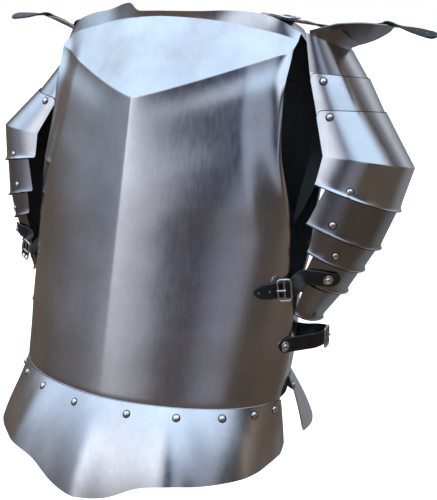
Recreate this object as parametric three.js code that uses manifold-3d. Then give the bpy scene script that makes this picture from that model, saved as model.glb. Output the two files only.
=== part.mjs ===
// Steel breastplate with its backplate, skirts, articulated shoulder guards, straps and buckles.
// Millimetres. +X is the wearer's left, the chest faces -Y, +Z is up.
// The origin is where the shoulders carry the armour, on the middle plane.
import * as THREE from 'three';
import { mergeVertices } from 'three/addons/utils/BufferGeometryUtils.js';
import Module from 'manifold-3d';

const wasm = await Module();
wasm.setup();

// Sheet, leather and clearances
const steel = 1.2;
const leather = 2.4;
const clearance = 0.5;
// Distance between the same faces of two nested sheets
const nested = steel + clearance;
// Gap under a strap that lies on steel
const touch = 0.6;
const strapWidth = 19;
const rivetRadius = 3.5;
const rivetHeight = 2.2;
const washerRadius = 6;
const washerThick = 0.8;
const rivetSides = 6;

// Torso, measured from the waist seam and from the side line of the waist
const waistBelowOrigin = 464;
const sideLineBeforeOrigin = 80;
const waistHalfWidth = 192;
const waistForward = 116;
const chestRise = 357;
const chestForward = 40;
const ridgeEndRise = 412;
const neckRise = 451;
const neckBehind = 25;
const flangeHeight = 18;
const neckFlangeHeight = 6.5;
// The neck flange's bent-up corner: share across, and how far it slopes to the neck and to the shoulder
const cornerLift = 10;
const cornerPeak = 0.27;
const cornerSlope = { inner: 0.05, outer: 0.17 };
const armholeFlare = 6;
const flareFrom = 0.72;
const waistTuck = 18;
const backBehind = 119;
const backRise = 436;
const bladeBehind = 184;
const backWaistRise = 20;
const shoulderTabFront = 78;

// Skirts
const skirtBand = 9;
const frontSkirtDrop = 108;
const frontSkirtFlare = 56;
const backSkirtDrop = 72;
const backSkirtFlare = 45;

// Shoulder guards
const guardHalfDepth = 65;
const guardReach = 78;
const lipWidth = 3.2;
const plateOverlap = 0.26;
const cornerRound = 9;

// Side strap, arm strap and shoulder buckle
const buckleWire = 3;
const buckleThick = 2.4;
const buckleInner = strapWidth + 3;
const sideStrapShare = 0.165;
const wingLength = 86;
const wingDepth = 52;
const wingStrapFree = 56;

const steelSatin = { color: 0x8d929c, metalness: 1, roughness: 0.32 };
const steelDark = { color: 0x6c6f77, metalness: 1, roughness: 0.36 };
const leatherBlack = { color: 0x17161a, metalness: 0, roughness: 0.6 };
const buckleSteel = { color: 0x9a9ca2, metalness: 1, roughness: 0.3 };

const armour = new THREE.Group();
armour.position.set(0, -sideLineBeforeOrigin, -waistBelowOrigin);

// Place a point from its distance to the wearer's left, its distance behind the side line, and its rise
const at = (left, behind, rise) => new THREE.Vector3(left, behind, rise);

// Smooth value through the rows of a table, t from 0 to 1 over all its rows
function along(rows, t) {
  const last = rows.length - 1;
  const place = Math.min(Math.max(t, 0), 1) * last;
  const i = Math.min(Math.floor(place), last - 1);
  const f = place - i;
  const a = rows[Math.max(i - 1, 0)];
  const b = rows[i];
  const c = rows[i + 1];
  const d = rows[Math.min(i + 2, last)];
  return b.map((_, k) => 0.5 * (2 * b[k] + (c[k] - a[k]) * f
    + (2 * a[k] - 5 * b[k] + 4 * c[k] - d[k]) * f * f
    + (3 * b[k] - a[k] - 3 * c[k] + d[k]) * f * f * f));
}

const mix = (a, b, t) => a + (b - a) * t;
const lerp = (p, q, t) => p.clone().lerp(q, t);

// Normal of a grid of points at row i and column j, from its neighbours
function gridNormal(grid, i, j) {
  const rows = grid.length - 1;
  const cols = grid[0].length - 1;
  const along1 = grid[i][Math.min(j + 1, cols)].clone().sub(grid[i][Math.max(j - 1, 0)]);
  const up = grid[Math.min(i + 1, rows)][j].clone().sub(grid[Math.max(i - 1, 0)][j]);
  return along1.cross(up).normalize();
}

// Closed solid between two grids of the same size, outer and inner, open sheet with four edges
function closedSheet(outer, inner) {
  const rows = outer.length;
  const cols = outer[0].length;
  const points = [...outer.flat(), ...inner.flat()];
  const o = (i, j) => i * cols + j;
  const n = (i, j) => rows * cols + i * cols + j;
  const index = [];
  const quad = (a, b, c, d) => index.push(a, b, c, a, c, d);
  for (let i = 0; i < rows - 1; i += 1) {
    for (let j = 0; j < cols - 1; j += 1) {
      quad(o(i, j), o(i, j + 1), o(i + 1, j + 1), o(i + 1, j));
      quad(n(i, j), n(i + 1, j), n(i + 1, j + 1), n(i, j + 1));
    }
    quad(o(i, 0), o(i + 1, 0), n(i + 1, 0), n(i, 0));
    quad(o(i + 1, cols - 1), o(i, cols - 1), n(i, cols - 1), n(i + 1, cols - 1));
  }
  for (let j = 0; j < cols - 1; j += 1) {
    quad(o(0, j + 1), o(0, j), n(0, j), n(0, j + 1));
    quad(o(rows - 1, j), o(rows - 1, j + 1), n(rows - 1, j + 1), n(rows - 1, j));
  }
  return fromPoints(points, index);
}

function fromPoints(points, index) {
  const geometry = new THREE.BufferGeometry();
  geometry.setAttribute('position', new THREE.Float32BufferAttribute(points.flatMap((p) => p.toArray()), 3));
  geometry.setIndex(index);
  return geometry;
}

// Sheet of even thickness under a grid whose normals point outwards
function sheet(outer, thick = steel) {
  const inner = outer.map((row, i) => row.map((p, j) =>
    p.clone().addScaledVector(gridNormal(outer, i, j), -thick)));
  return closedSheet(outer, inner);
}

// Exchange between three.js geometry and solids for joins
function solidOf(geometry) {
  const bare = geometry.clone();
  bare.deleteAttribute('normal');
  bare.deleteAttribute('uv');
  const merged = mergeVertices(bare, 1e-4);
  return new wasm.Manifold(new wasm.Mesh({
    numProp: 3,
    vertProperties: new Float32Array(merged.attributes.position.array),
    triVerts: new Uint32Array(merged.index.array),
  }));
}

function geometryOf(solid) {
  const mesh = solid.getMesh();
  const geometry = new THREE.BufferGeometry();
  geometry.setAttribute('position', new THREE.Float32BufferAttribute(mesh.vertProperties, 3));
  geometry.setIndex(Array.from(mesh.triVerts));
  return geometry;
}

// Mirror a geometry to the wearer's other side, with its faces kept pointing out
function mirrored(geometry) {
  const copy = geometry.clone();
  copy.scale(-1, 1, 1);
  const index = Array.from(copy.index.array);
  for (let i = 0; i < index.length; i += 3) {
    [index[i], index[i + 1]] = [index[i + 1], index[i]];
  }
  copy.setIndex(index);
  return copy;
}

// Domed rivet head standing on a point, its foot sunk into the plate
function rivet(point, normal, sink = steel / 2, washer = false) {
  const profile = [[0, rivetHeight], [rivetRadius * 0.75, rivetHeight * 0.62], [rivetRadius, -sink], [0, -sink]];
  if (washer) {
    profile.splice(2, 2, [rivetRadius, 0], [washerRadius, 0], [washerRadius, -washerThick], [0, -washerThick]);
  }
  const shape = profile.map(([r, h]) => new THREE.Vector2(r, h)).reverse();
  const head = new THREE.LatheGeometry(shape, rivetSides);
  head.rotateX(Math.PI / 2);
  const turn = new THREE.Quaternion().setFromUnitVectors(new THREE.Vector3(0, 0, 1), normal);
  head.applyQuaternion(turn);
  const lift = washer ? washerThick : 0;
  head.translate(...point.clone().addScaledVector(normal, lift).toArray());
  return head;
}

function joined(base, pieces) {
  let solid = solidOf(base);
  for (const piece of pieces) {
    solid = solid.add(solidOf(piece));
  }
  return geometryOf(solid);
}

function add(name, geometry, look) {
  const mesh = new THREE.Mesh(geometry, new THREE.MeshStandardMaterial(look));
  mesh.name = name;
  armour.add(mesh);
}

// Breastplate: side edge from the waist, past the underarm point, up the armhole to the ridge's end.
// left: share of waistHalfWidth. behind: share of waistForward. wedge: 0 round section, 1 flat panels.
const breastSections = [
  { left: 0.995, behind: -0.069, wedge: 0.10 },
  { left: 1.014, behind: 0.026, wedge: 0.15 },
  { left: 1.024, behind: 0.082, wedge: 0.20 },
  { left: 1.022, behind: 0.116, wedge: 0.28 },
  { left: 1.017, behind: 0.142, wedge: 0.36 },
  { left: 1.009, behind: 0.149, wedge: 0.45 },
  { left: 0.974, behind: 0.098, wedge: 0.55 },
  { left: 0.928, behind: 0.103, wedge: 0.66 },
  { left: 0.903, behind: 0.171, wedge: 0.78 },
  { left: 0.896, behind: 0.241, wedge: 0.90 },
  { left: 0.904, behind: 0.379, wedge: 1.00 },
].map((row) => [row.left, row.behind, row.wedge]);

// Point of the lower panels, s from the waist to the diagonal ridges, u from the middle to the side edge
function panelPoint(s, u) {
  const [left, behind, wedge] = along(breastSections, s);
  const side = waistHalfWidth * left;
  const q = mix(Math.sin(u * Math.PI / 2), u, wedge);
  const curve = mix(1 - Math.sqrt(Math.max(1 - q * q, 0)), q ** 1.22, wedge);
  const middle = -mix(waistForward, chestForward, s);
  const w = Math.max((u - flareFrom) / (1 - flareFrom), 0);
  const hollow = armholeFlare * THREE.MathUtils.smoothstep(s, 0.45, 0.62) * 5 * w * w * (1 - w);
  return at(side * q, mix(middle, waistForward * behind, curve) + hollow,
    mix(chestRise * s, ridgeEndRise * s, q ** 1.2));
}

// Foot of the turned-up flange along the neck and the shoulder, u from the middle to the armhole.
// left: share of the ridge's half width. behind: of neckBehind. drop, height and lean: of flangeHeight.
const flangeFoot = [
  { left: 0.00, behind: 1.00, drop: 0.00, height: 0.36, lean: -0.15 },
  { left: 0.16, behind: 1.06, drop: 0.06, height: 0.40, lean: -0.10 },
  { left: 0.31, behind: 1.24, drop: 0.16, height: 0.50, lean: 0.00 },
  { left: 0.46, behind: 1.50, drop: 0.34, height: 0.72, lean: 0.20 },
  { left: 0.60, behind: 1.66, drop: 0.60, height: 0.92, lean: 0.36 },
  { left: 0.74, behind: 1.86, drop: 0.86, height: 1.00, lean: 0.34 },
  { left: 0.88, behind: 2.08, drop: 1.14, height: 0.84, lean: 0.20 },
  { left: 1.00, behind: 2.30, drop: 1.56, height: 0.50, lean: 0.35 },
].map((row) => [row.left, row.behind, row.drop, row.height, row.lean]);

const ridgeHalf = panelPoint(1, 1).x;

function flangePoint(u, f, side) {
  const [left, behind, drop, height, lean] = along(flangeFoot, u);
  const tall = mix(neckFlangeHeight, flangeHeight, THREE.MathUtils.clamp((height - 0.36) / 0.64, 0, 1));
  const slope = u < cornerPeak ? cornerSlope.inner : cornerSlope.outer;
  const lifted = side < 0 ? cornerLift * Math.exp(-(((u - cornerPeak) / slope) ** 2)) : 0;
  return at(ridgeHalf * left, neckBehind * behind + flangeHeight * lean * f,
    neckRise - flangeHeight * drop + (tall + lifted) * f);
}

// Whole breastplate surface. row 0 is the waist, 1 the ridges, 2 the flange's foot, 3 its edge
function breastPoint(row, across) {
  const side = Math.sign(across) || 1;
  const u = Math.abs(across);
  let point;
  if (row <= 0) {
    point = panelPoint(0, u);
    const inward = 1 + row * nested / Math.hypot(point.x, point.y);
    point = at(point.x * inward, point.y * inward, row * waistTuck);
  } else if (row <= 1) {
    point = panelPoint(row, u);
  } else if (row <= 2) {
    point = lerp(panelPoint(1, u), flangePoint(u, 0, side), row - 1);
  } else {
    point = flangePoint(u, row - 2, side);
  }
  point.x *= side;
  return point;
}

const halfColumns = [0, 0.1, 0.2, 0.31, 0.42, 0.53, 0.64, 0.74, 0.83, 0.9, 0.955, 1];
const columns = [...halfColumns.slice(1).reverse().map((u) => -u), ...halfColumns];
const sideRows = [0.045, 0.1, 0.2, 0.3, 0.4, 0.5];
const breastRows = [-1, 0, ...sideRows, 0.56, 0.62, 0.7, 0.8, 0.9, 1, 1.5, 2, 2.5, 3];
const breastGrid = breastRows.map((row) => columns.map((across) => breastPoint(row, across)));

const seat = (grid, i, j, lift) => grid[i][j].clone().addScaledVector(gridNormal(grid, i, j), lift);

// Backplate: upper rows, from above the underarm to the front end of the shoulder tab.
// edge and inner ends of each row. left: share of waistHalfWidth, behind: of bladeBehind, rise: of backRise.
// rim: how far the edge is turned out round the armhole.
const backSections = [
  { edgeLeft: 0.992, edgeBehind: 0.163, edgeRise: 0.518, left: 0, behind: 0.853, rise: 0.550, rim: 0 },
  { edgeLeft: 0.979, edgeBehind: 0.261, edgeRise: 0.564, left: 0, behind: 0.891, rise: 0.615, rim: 4 },
  { edgeLeft: 0.958, edgeBehind: 0.370, edgeRise: 0.601, left: 0, behind: 0.924, rise: 0.674, rim: 7 },
  { edgeLeft: 0.927, edgeBehind: 0.500, edgeRise: 0.658, left: 0, behind: 0.962, rise: 0.743, rim: 10 },
  { edgeLeft: 0.891, edgeBehind: 0.609, edgeRise: 0.757, left: 0, behind: 0.995, rise: 0.830, rim: 10 },
  { edgeLeft: 0.865, edgeBehind: 0.652, edgeRise: 0.860, left: 0, behind: 1.000, rise: 0.922, rim: 9 },
  { edgeLeft: 0.833, edgeBehind: 0.625, edgeRise: 0.936, left: 0, behind: 0.967, rise: 1.000, rim: 6 },
  { edgeLeft: 0.802, edgeBehind: 0.554, edgeRise: 0.982, left: 0.323, behind: 0.902, rise: 1.028, rim: 3 },
  { edgeLeft: 0.776, edgeBehind: 0.478, edgeRise: 1.005, left: 0.438, behind: 0.707, rise: 1.044, rim: 3 },
  { edgeLeft: 0.760, edgeBehind: 0, edgeRise: 1.009, left: 0.479, behind: 0, rise: 1.025, rim: 3 },
];
const roundness = 0.56;

// Lower rows share the breastplate's side rows and lie inside its side edge
const tuckedRows = [0, ...sideRows];
const tuckClearance = 0.4;
const lowerBack = tuckedRows.map((s) => {
  const i = breastRows.indexOf(s);
  const last = columns.length - 1;
  const rise = breastGrid[i][last].z;
  const full = backSections[0].rise * backRise;
  const bulge = mix(backBehind, bladeBehind * backSections[0].behind, (rise / full) ** 1.15);
  const under = -nested - tuckClearance;
  const edge = seat(breastGrid, i, last, under);
  const tuck = seat(breastGrid, i, last - 1, under);
  return { edge, tuck, inner: at(0, bulge, rise) };
});
const upperBack = backSections.map((row, k) => {
  const front = k === backSections.length - 1 ? shoulderTabFront : 0;
  const edge = at(waistHalfWidth * row.edgeLeft, bladeBehind * row.edgeBehind + front, backRise * row.edgeRise);
  const inner = at(waistHalfWidth * row.left, bladeBehind * row.behind + front, backRise * row.rise);
  const tuck = edge.clone().add(row.rim === 0 ? at(-0.2, -4, 0) : at(row.rim, -2.5, 0.5));
  return { edge, tuck, inner };
});
const backEnds = [...lowerBack, ...upperBack];

// Point of the backplate. row counts through backEnds, t from the middle or neck edge to the side edge
function backPoint(row, t) {
  const i = Math.min(Math.floor(row), backEnds.length - 2);
  const f = row - i;
  const a = lerp(backEnds[i].inner, backEnds[i + 1].inner, f);
  const d = lerp(backEnds[i].edge, backEnds[i + 1].edge, f);
  const b = at(mix(a.x, d.x, roundness), a.y, mix(a.z, d.z, 0.2));
  const c = at(d.x, mix(d.y, a.y, roundness), mix(d.z, a.z, 0.25));
  return new THREE.CubicBezierCurve3(a, b, c, d).getPoint(t);
}

const backColumns = [0, 0.16, 0.32, 0.47, 0.6, 0.72, 0.81, 0.885, 1];

function backplate() {
  const points = [];
  const index = [];
  const rowIds = backEnds.map((ends, i) => [1, -1].map((side) => {
    const row = backColumns.map((t) => backPoint(i, t));
    row.push(ends.tuck.clone());
    return row.map((p) => points.push(at(p.x * side, p.y, p.z)) - 1);
  }));
  for (let i = 0; i < backEnds.length - 1; i += 1) {
    for (const side of [0, 1]) {
      const low = rowIds[i][side];
      const high = rowIds[i + 1][side];
      for (let j = 0; j < low.length - 1; j += 1) {
        const ring = [low[j], high[j], high[j + 1], low[j + 1]];
        if (side === 1) ring.reverse();
        index.push(ring[0], ring[1], ring[2], ring[0], ring[2], ring[3]);
      }
    }
  }
  return thickened(points, index, steel);
}

// Closed solid from an open surface of triangles, thickened inwards, for sheets that branch
function thickened(points, index, thick) {
  const surface = mergeVertices(fromPoints(points, index), 1e-4);
  surface.computeVertexNormals();
  const place = surface.attributes.position;
  const normal = surface.attributes.normal;
  const outer = [];
  const inner = [];
  for (let k = 0; k < place.count; k += 1) {
    const p = new THREE.Vector3().fromBufferAttribute(place, k);
    outer.push(p);
    inner.push(p.clone().addScaledVector(new THREE.Vector3().fromBufferAttribute(normal, k), -thick));
  }
  const tris = Array.from(surface.index.array);
  const count = outer.length;
  const used = new Set();
  for (let k = 0; k < tris.length; k += 3) {
    for (let e = 0; e < 3; e += 1) used.add(`${tris[k + e]},${tris[k + (e + 1) % 3]}`);
  }
  const all = [...tris];
  for (let k = 0; k < tris.length; k += 3) {
    all.push(tris[k] + count, tris[k + 2] + count, tris[k + 1] + count);
    for (let e = 0; e < 3; e += 1) {
      const a = tris[k + e];
      const b = tris[k + (e + 1) % 3];
      if (!used.has(`${b},${a}`)) all.push(b, a, a + count, b, a + count, b + count);
    }
  }
  return fromPoints([...outer, ...inner], all);
}

// Point and outward normal of a surface given by a function of two values
function surfaceAt(pointOf, a, b, flip = 1, step = 0.01) {
  const point = pointOf(a, b);
  const across = pointOf(a, b + step).sub(pointOf(a, b - step));
  const up = pointOf(a + step, b).sub(pointOf(a - step, b));
  return { point, normal: across.cross(up).normalize().multiplyScalar(flip) };
}

// Front skirt: lower edge, from the middle to the side. flare and drop: shares of the skirt's named sizes.
const frontSkirtEdge = [
  { flare: 1.00, drop: 1.00 },
  { flare: 0.90, drop: 0.95 },
  { flare: 0.87, drop: 0.79 },
  { flare: 0.96, drop: 0.713 },
  { flare: 0.86, drop: 0.718 },
  { flare: 0.80, drop: 0.695 },
  { flare: 0.70, drop: 0.672 },
  { flare: 0.50, drop: 0.657 },
  { flare: 0.29, drop: 0.643 },
  { flare: 0.16, drop: 0.625 },
  { flare: 0.09, drop: 0.610 },
].map((row) => [row.flare, row.drop]);

const skirtSweep = (f) => f + 0.35 * f * (1 - f);

function frontSkirtPoint(f, across) {
  const [flare, drop] = along(frontSkirtEdge, Math.abs(across));
  const waist = breastPoint(0, across);
  const out = nested + frontSkirtFlare * flare * skirtSweep(f);
  const grow = 1 + out / Math.hypot(waist.x, waist.y);
  return at(waist.x * grow, waist.y * grow, -frontSkirtDrop * drop * f);
}

// Back skirt: lower edge, from the middle of the back to the side
const backSkirtEdge = [
  { flare: 1.00, drop: 0.86 },
  { flare: 1.00, drop: 0.87 },
  { flare: 0.96, drop: 0.90 },
  { flare: 0.86, drop: 0.94 },
  { flare: 0.66, drop: 0.98 },
  { flare: 0.40, drop: 0.98 },
].map((row) => [row.flare, row.drop]);
const backSkirtRow = 0.98;
const backSkirtEnd = 0.885;

function backSkirtPoint(f, across) {
  const t = Math.abs(across);
  const [flare, drop] = along(backSkirtEdge, t / backSkirtEnd);
  const waist = backPoint(backSkirtRow, t);
  const out = nested + 0.3 + backSkirtFlare * flare * skirtSweep(f);
  const grow = 1 + out / Math.hypot(waist.x, waist.y);
  return at(waist.x * grow * (Math.sign(across) || 1), waist.y * grow, backWaistRise - backSkirtDrop * drop * f);
}

const skirtRows = [0, 0.16, 0.4, 0.7, 1];
const backHalf = backColumns.filter((t) => t <= backSkirtEnd);
const backAcross = [...backHalf.slice(1).reverse(), ...backHalf.map((t) => -t)];
const frontSkirtGrid = skirtRows.slice().reverse().map((f) => columns.map((u) => frontSkirtPoint(f, u)));
const backSkirtGrid = skirtRows.slice().reverse().map((f) => backAcross.map((t) => backSkirtPoint(f, t)));

// Rivets of the front skirt, from the middle to the side, and of the back skirt
const frontSkirtRivets = [-0.93, -0.76, -0.56, -0.335, -0.112, 0.143, 0.356, 0.57, 0.765, 0.94];
const backSkirtRivets = [-0.85, -0.5, -0.17, 0.17, 0.5, 0.85];

function skirtRivets(pointOf, places, drop, flip) {
  return places.map((u) => {
    const f = skirtBand / (drop * 0.7);
    const { point, normal } = surfaceAt(pointOf, f, u, flip);
    return rivet(point, normal);
  });
}

// Shoulder guard: rings from the top to the cuff, measured from the guard's top front corner.
// left, behind, rise: shares of guardReach. reach: of guardReach. depth: of guardHalfDepth.
const guardTop = { left: 181, behind: 62, rise: 433 };
const guardRings = [
  { left: 0.00, behind: 0.000, rise: 0.000, reach: 0.375, depth: 0.77, tiltOut: -0.40, tiltBack: -0.17 },
  { left: 0.10, behind: -0.050, rise: -0.588, reach: 0.535, depth: 0.89, tiltOut: -0.08, tiltBack: -0.10 },
  { left: 0.29, behind: -0.175, rise: -1.138, reach: 0.660, depth: 0.95, tiltOut: 0.00, tiltBack: -0.10 },
  { left: 0.525, behind: -0.365, rise: -1.800, reach: 1.000, depth: 1.00, tiltOut: -0.08, tiltBack: -0.15 },
  { left: 0.4625, behind: -0.475, rise: -2.213, reach: 0.888, depth: 0.98, tiltOut: -0.295, tiltBack: -0.20 },
  { left: 0.388, behind: -0.600, rise: -2.788, reach: 0.750, depth: 0.92, tiltOut: -0.386, tiltBack: -0.20 },
  { left: 0.42, behind: -0.625, rise: -3.213, reach: 0.510, depth: 0.83, tiltOut: -0.48, tiltBack: -0.20 },
  { left: 0.32, behind: -0.625, rise: -3.660, reach: 0.390, depth: 0.74, tiltOut: -0.48, tiltBack: -0.20 },
  { left: 0.19, behind: -0.600, rise: -4.230, reach: 0.200, depth: 0.53, tiltOut: -0.55, tiltBack: -0.20 },
];
// Power that makes the rings fuller than a half ellipse
const guardSquareness = 0.87;

function ringPoint(k, t) {
  const ring = guardRings[k];
  const angle = Math.PI * (t - 0.5);
  const out = guardReach * ring.reach * Math.cos(angle) ** guardSquareness;
  const half = guardHalfDepth * ring.depth;
  const back = half + half * Math.sign(angle) * Math.abs(Math.sin(angle)) ** guardSquareness;
  return at(guardTop.left + guardReach * ring.left + out, guardTop.behind + guardReach * ring.behind + back,
    guardTop.rise + guardReach * ring.rise + ring.tiltOut * out + ring.tiltBack * back);
}

// Direction that keeps plates an even distance apart across the bend at a ring
function ringMitre(k, t) {
  const normals = [k - 1, k].filter((i) => i >= 0 && i < guardRings.length - 1).map((i) => {
    const span = 0.02;
    const low = Math.max(t - span, 0.001);
    const high = Math.min(t + span, 0.999);
    const across = lerp(ringPoint(i, high), ringPoint(i + 1, high), 0.5)
      .sub(lerp(ringPoint(i, low), ringPoint(i + 1, low), 0.5));
    const up = ringPoint(i, t).sub(ringPoint(i + 1, t));
    return across.cross(up).normalize();
  });
  const sum = normals.reduce((a, b) => a.clone().add(b), new THREE.Vector3()).normalize();
  return sum.divideScalar(sum.dot(normals[0]));
}

// Point of the guard's surface, v counts rings, t from the front edge to the rear edge, lift outwards
function guardPoint(v, t, lift) {
  const k = Math.min(Math.floor(v), guardRings.length - 2);
  const f = v - k;
  const low = ringPoint(k, t).addScaledVector(ringMitre(k, t), lift);
  const high = ringPoint(k + 1, t).addScaledVector(ringMitre(k + 1, t), lift);
  return lerp(low, high, f);
}

const guardColumns = [0, 0.012, 0.05, 0.12, 0.21, 0.32, 0.44, 0.56, 0.68, 0.79, 0.88, 0.95, 0.988, 1];
const lap = plateOverlap;
// Plates from the shoulder to the cuff: first and last ring, layer outwards, and what they have
const guardPlates = [
  { name: 'guard_plate_1', from: 0, to: 1 + lap, layer: 0, look: steelSatin, lip: false, round: false },
  { name: 'guard_plate_2', from: 1, to: 2 + lap, layer: 1, look: steelSatin, lip: false, round: true },
  { name: 'guard_plate_3', from: 2, to: 4, layer: 2, look: steelSatin, lip: true, round: true },
  { name: 'guard_lame_4', from: 4 - lap, to: 5, layer: 1, look: steelDark, lip: true, round: false },
  { name: 'guard_lame_5', from: 5 - lap, to: 6, layer: 0, look: steelDark, lip: true, round: false },
  { name: 'guard_lame_6', from: 6 - lap, to: 7, layer: -1, look: steelDark, lip: true, round: false },
  { name: 'guard_lame_7', from: 7 - lap, to: 8, layer: -2, look: steelDark, lip: true, round: false },
];
// Rivets on the guard: ring count, place along the ring, and the plate that carries it
const guardRivets = [
  { plate: 'guard_plate_2', v: 1.22, t: 0.095 },
  { plate: 'guard_plate_2', v: 1.22, t: 0.905 },
  { plate: 'guard_plate_3', v: 2.15, t: 0.075 },
  { plate: 'guard_plate_3', v: 2.15, t: 0.925 },
  { plate: 'guard_plate_3', v: 3.85, t: 0.165 },
  { plate: 'guard_plate_3', v: 3.85, t: 0.835 },
  { plate: 'guard_lame_4', v: 4.76, t: 0.135 },
  { plate: 'guard_lame_4', v: 4.76, t: 0.865 },
  { plate: 'guard_lame_5', v: 5.65, t: 0.22 },
  { plate: 'guard_lame_5', v: 5.65, t: 0.78 },
];

// Shape of a plate's rounded upper corners over its first three columns
const cornerShape = [1, 0.4, 0.06];

function guardPlate(plate) {
  const stops = new Set([plate.from, plate.to]);
  for (let k = Math.floor(plate.from); k <= plate.to; k += 1) {
    for (const v of [k, k + lap, k + 1 - lap]) {
      if (v > plate.from && v < plate.to) stops.add(v);
    }
  }
  const rows = [...stops].sort((a, b) => b - a);
  const span = (from, to) => ringPoint(from, 0).distanceTo(ringPoint(to, 0));
  const corner = plate.round ? cornerRound / span(plate.from, plate.from + 1) : 0;
  const lipSpan = plate.lip ? lipWidth / span(plate.to - 1, plate.to) : 0;
  const grid = (lift) => {
    const points = rows.map((v, i) => guardColumns.map((t, j) => {
      const fromEnd = Math.min(j, guardColumns.length - 1 - j);
      const drop = i === rows.length - 1 ? corner * (cornerShape[fromEnd] || 0) : 0;
      return guardPoint(v + drop, t, lift);
    }));
    if (plate.lip) {
      points.splice(0, 1, guardColumns.map((t) => guardPoint(plate.to, t, lift + lipWidth)),
        guardColumns.map((t) => guardPoint(plate.to - lipSpan, t, lift)));
    }
    return points;
  };
  return closedSheet(grid(plate.layer * nested), grid(plate.layer * nested - steel));
}

// Wing: a leaf plate that rises inside the top plate and turns outwards over the shoulder
const wingSections = [
  { left: 0.00, behind: 0.00, rise: 0.0, deep: 1.40, slope: -0.38 },
  { left: 0.26, behind: 0.08, rise: 0.055, deep: 1.32, slope: -0.40 },
  { left: 0.60, behind: 0.24, rise: 0.075, deep: 0.96, slope: -0.42 },
  { left: 0.86, behind: 0.38, rise: 0.055, deep: 0.50, slope: -0.38 },
  { left: 1.00, behind: 0.46, rise: 0.035, deep: 0.10, slope: -0.30 },
].map((row) => [row.left, row.behind, row.rise, row.deep, row.slope]);
const wingRoot = { left: guardTop.left + 4, behind: guardTop.behind + 5, rise: guardTop.rise + 4 };

function wingPoint(u, c) {
  const [left, behind, rise, deep, slope] = along(wingSections, u);
  const back = wingDepth * deep * c;
  const sag = 0.06 * back * (1 - c);
  return at(wingRoot.left + wingLength * left, wingRoot.behind + wingLength * behind + back,
    wingRoot.rise + wingLength * rise + slope * back - sag);
}

const wingColumns = [0, 0.17, 0.33, 0.5, 0.67, 0.83, 1];
const wingRows = [0.3, 0.5, 0.72, 0.9, 1];
// The foot lies inside the top plate: ring count and rise of each row, then its span along the rings.
// The last row is lower towards its ends by wingFootTaper.
const wingFoot = [{ v: 0.34, rise: 0, taper: 0 }, { v: 0, rise: 0, taper: 0 }, { v: 0, rise: 8, taper: 1 }];
const wingFootTaper = 4;
const wingFootFront = 0.03;
const wingFootRear = 0.72;

function wing() {
  const foot = wingFoot.map(({ v, rise, taper }) => wingColumns.map((c) => {
    const lower = taper * wingFootTaper * (1 - Math.sqrt(Math.max(Math.sin(Math.PI * c), 0)));
    return guardPoint(v, mix(wingFootFront, wingFootRear, c), -nested - clearance).add(at(0, 0, rise - lower));
  }));
  const leaf = wingRows.map((u) => wingColumns.map((c) => wingPoint(u, c)));
  return sheet([...foot, ...leaf]);
}

// Flat strap through stations, each with its outward normal. It grows outwards by its thickness.
function strap(stations, width = strapWidth, thick = leather, tip = true) {
  const last = stations.length - 1;
  const corners = stations.map(({ point, normal }, i) => {
    const ahead = stations[Math.min(i + 1, last)].point.clone().sub(stations[Math.max(i - 1, 0)].point).normalize();
    const flat = normal.clone().addScaledVector(ahead, -normal.dot(ahead)).normalize();
    const side = flat.clone().cross(ahead).normalize();
    const half = tip && i === last ? width * 0.16 : width / 2;
    return [[-half, 0], [half, 0], [half, thick], [-half, thick]].map(([s, h]) =>
      point.clone().addScaledVector(side, s).addScaledVector(flat, h));
  });
  const points = corners.flat();
  const index = [];
  for (let i = 0; i < last; i += 1) {
    for (let k = 0; k < 4; k += 1) {
      const a = i * 4 + k;
      const b = i * 4 + (k + 1) % 4;
      index.push(a, b + 4, b, a, a + 4, b + 4);
    }
  }
  const end = last * 4;
  index.push(0, 1, 2, 0, 2, 3, end, end + 2, end + 1, end, end + 3, end + 2);
  const solid = fromPoints(points, index);
  return signedVolume(solid) < 0 ? flipped(solid) : solid;
}

function signedVolume(geometry) {
  const p = geometry.attributes.position;
  const v = (i) => new THREE.Vector3().fromBufferAttribute(p, i);
  let sum = 0;
  for (let i = 0; i < geometry.index.count; i += 3) {
    const [a, b, c] = [0, 1, 2].map((k) => v(geometry.index.array[i + k]));
    sum += a.dot(b.cross(c)) / 6;
  }
  return sum;
}

function flipped(geometry) {
  const index = Array.from(geometry.index.array);
  for (let i = 0; i < index.length; i += 3) {
    [index[i], index[i + 1]] = [index[i + 1], index[i]];
  }
  geometry.setIndex(index);
  return geometry;
}

// Buckle frame with its bar and tongue, flat on a strap
function buckle(point, normal, ahead) {
  const half = buckleInner / 2 + buckleWire;
  const reach = 9;
  const chamfer = buckleWire * 1.3;
  const outline = new THREE.Shape([[-reach, -half + chamfer], [-reach + chamfer, -half], [reach - chamfer, -half],
    [reach, -half + chamfer], [reach, half - chamfer], [reach - chamfer, half], [-reach + chamfer, half],
    [-reach, half - chamfer]].map(([x, y]) => new THREE.Vector2(x, y)));
  const open = [reach - buckleWire, half - buckleWire];
  outline.holes.push(new THREE.Path([[-1, -1], [1, -1], [1, 1], [-1, 1]].map(([i, j]) =>
    new THREE.Vector2(i * open[0], j * open[1]))));
  const frame = new THREE.ExtrudeGeometry(outline, { depth: buckleThick, bevelEnabled: false });
  const bar = new THREE.BoxGeometry(buckleWire, 2 * half - buckleWire, buckleThick * 0.9);
  bar.translate(0, 0, buckleThick / 2);
  const tongue = new THREE.BoxGeometry(reach + 2, 2.4, 2);
  tongue.translate(reach / 2, 0, buckleThick + 0.5);
  const solid = joined(frame, [bar, tongue]);
  const x = ahead.clone().addScaledVector(normal, -ahead.dot(normal)).normalize();
  const basis = new THREE.Matrix4().makeBasis(x, normal.clone().cross(x), normal);
  solid.applyMatrix4(basis);
  solid.translate(...point.toArray());
  return solid;
}

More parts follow.
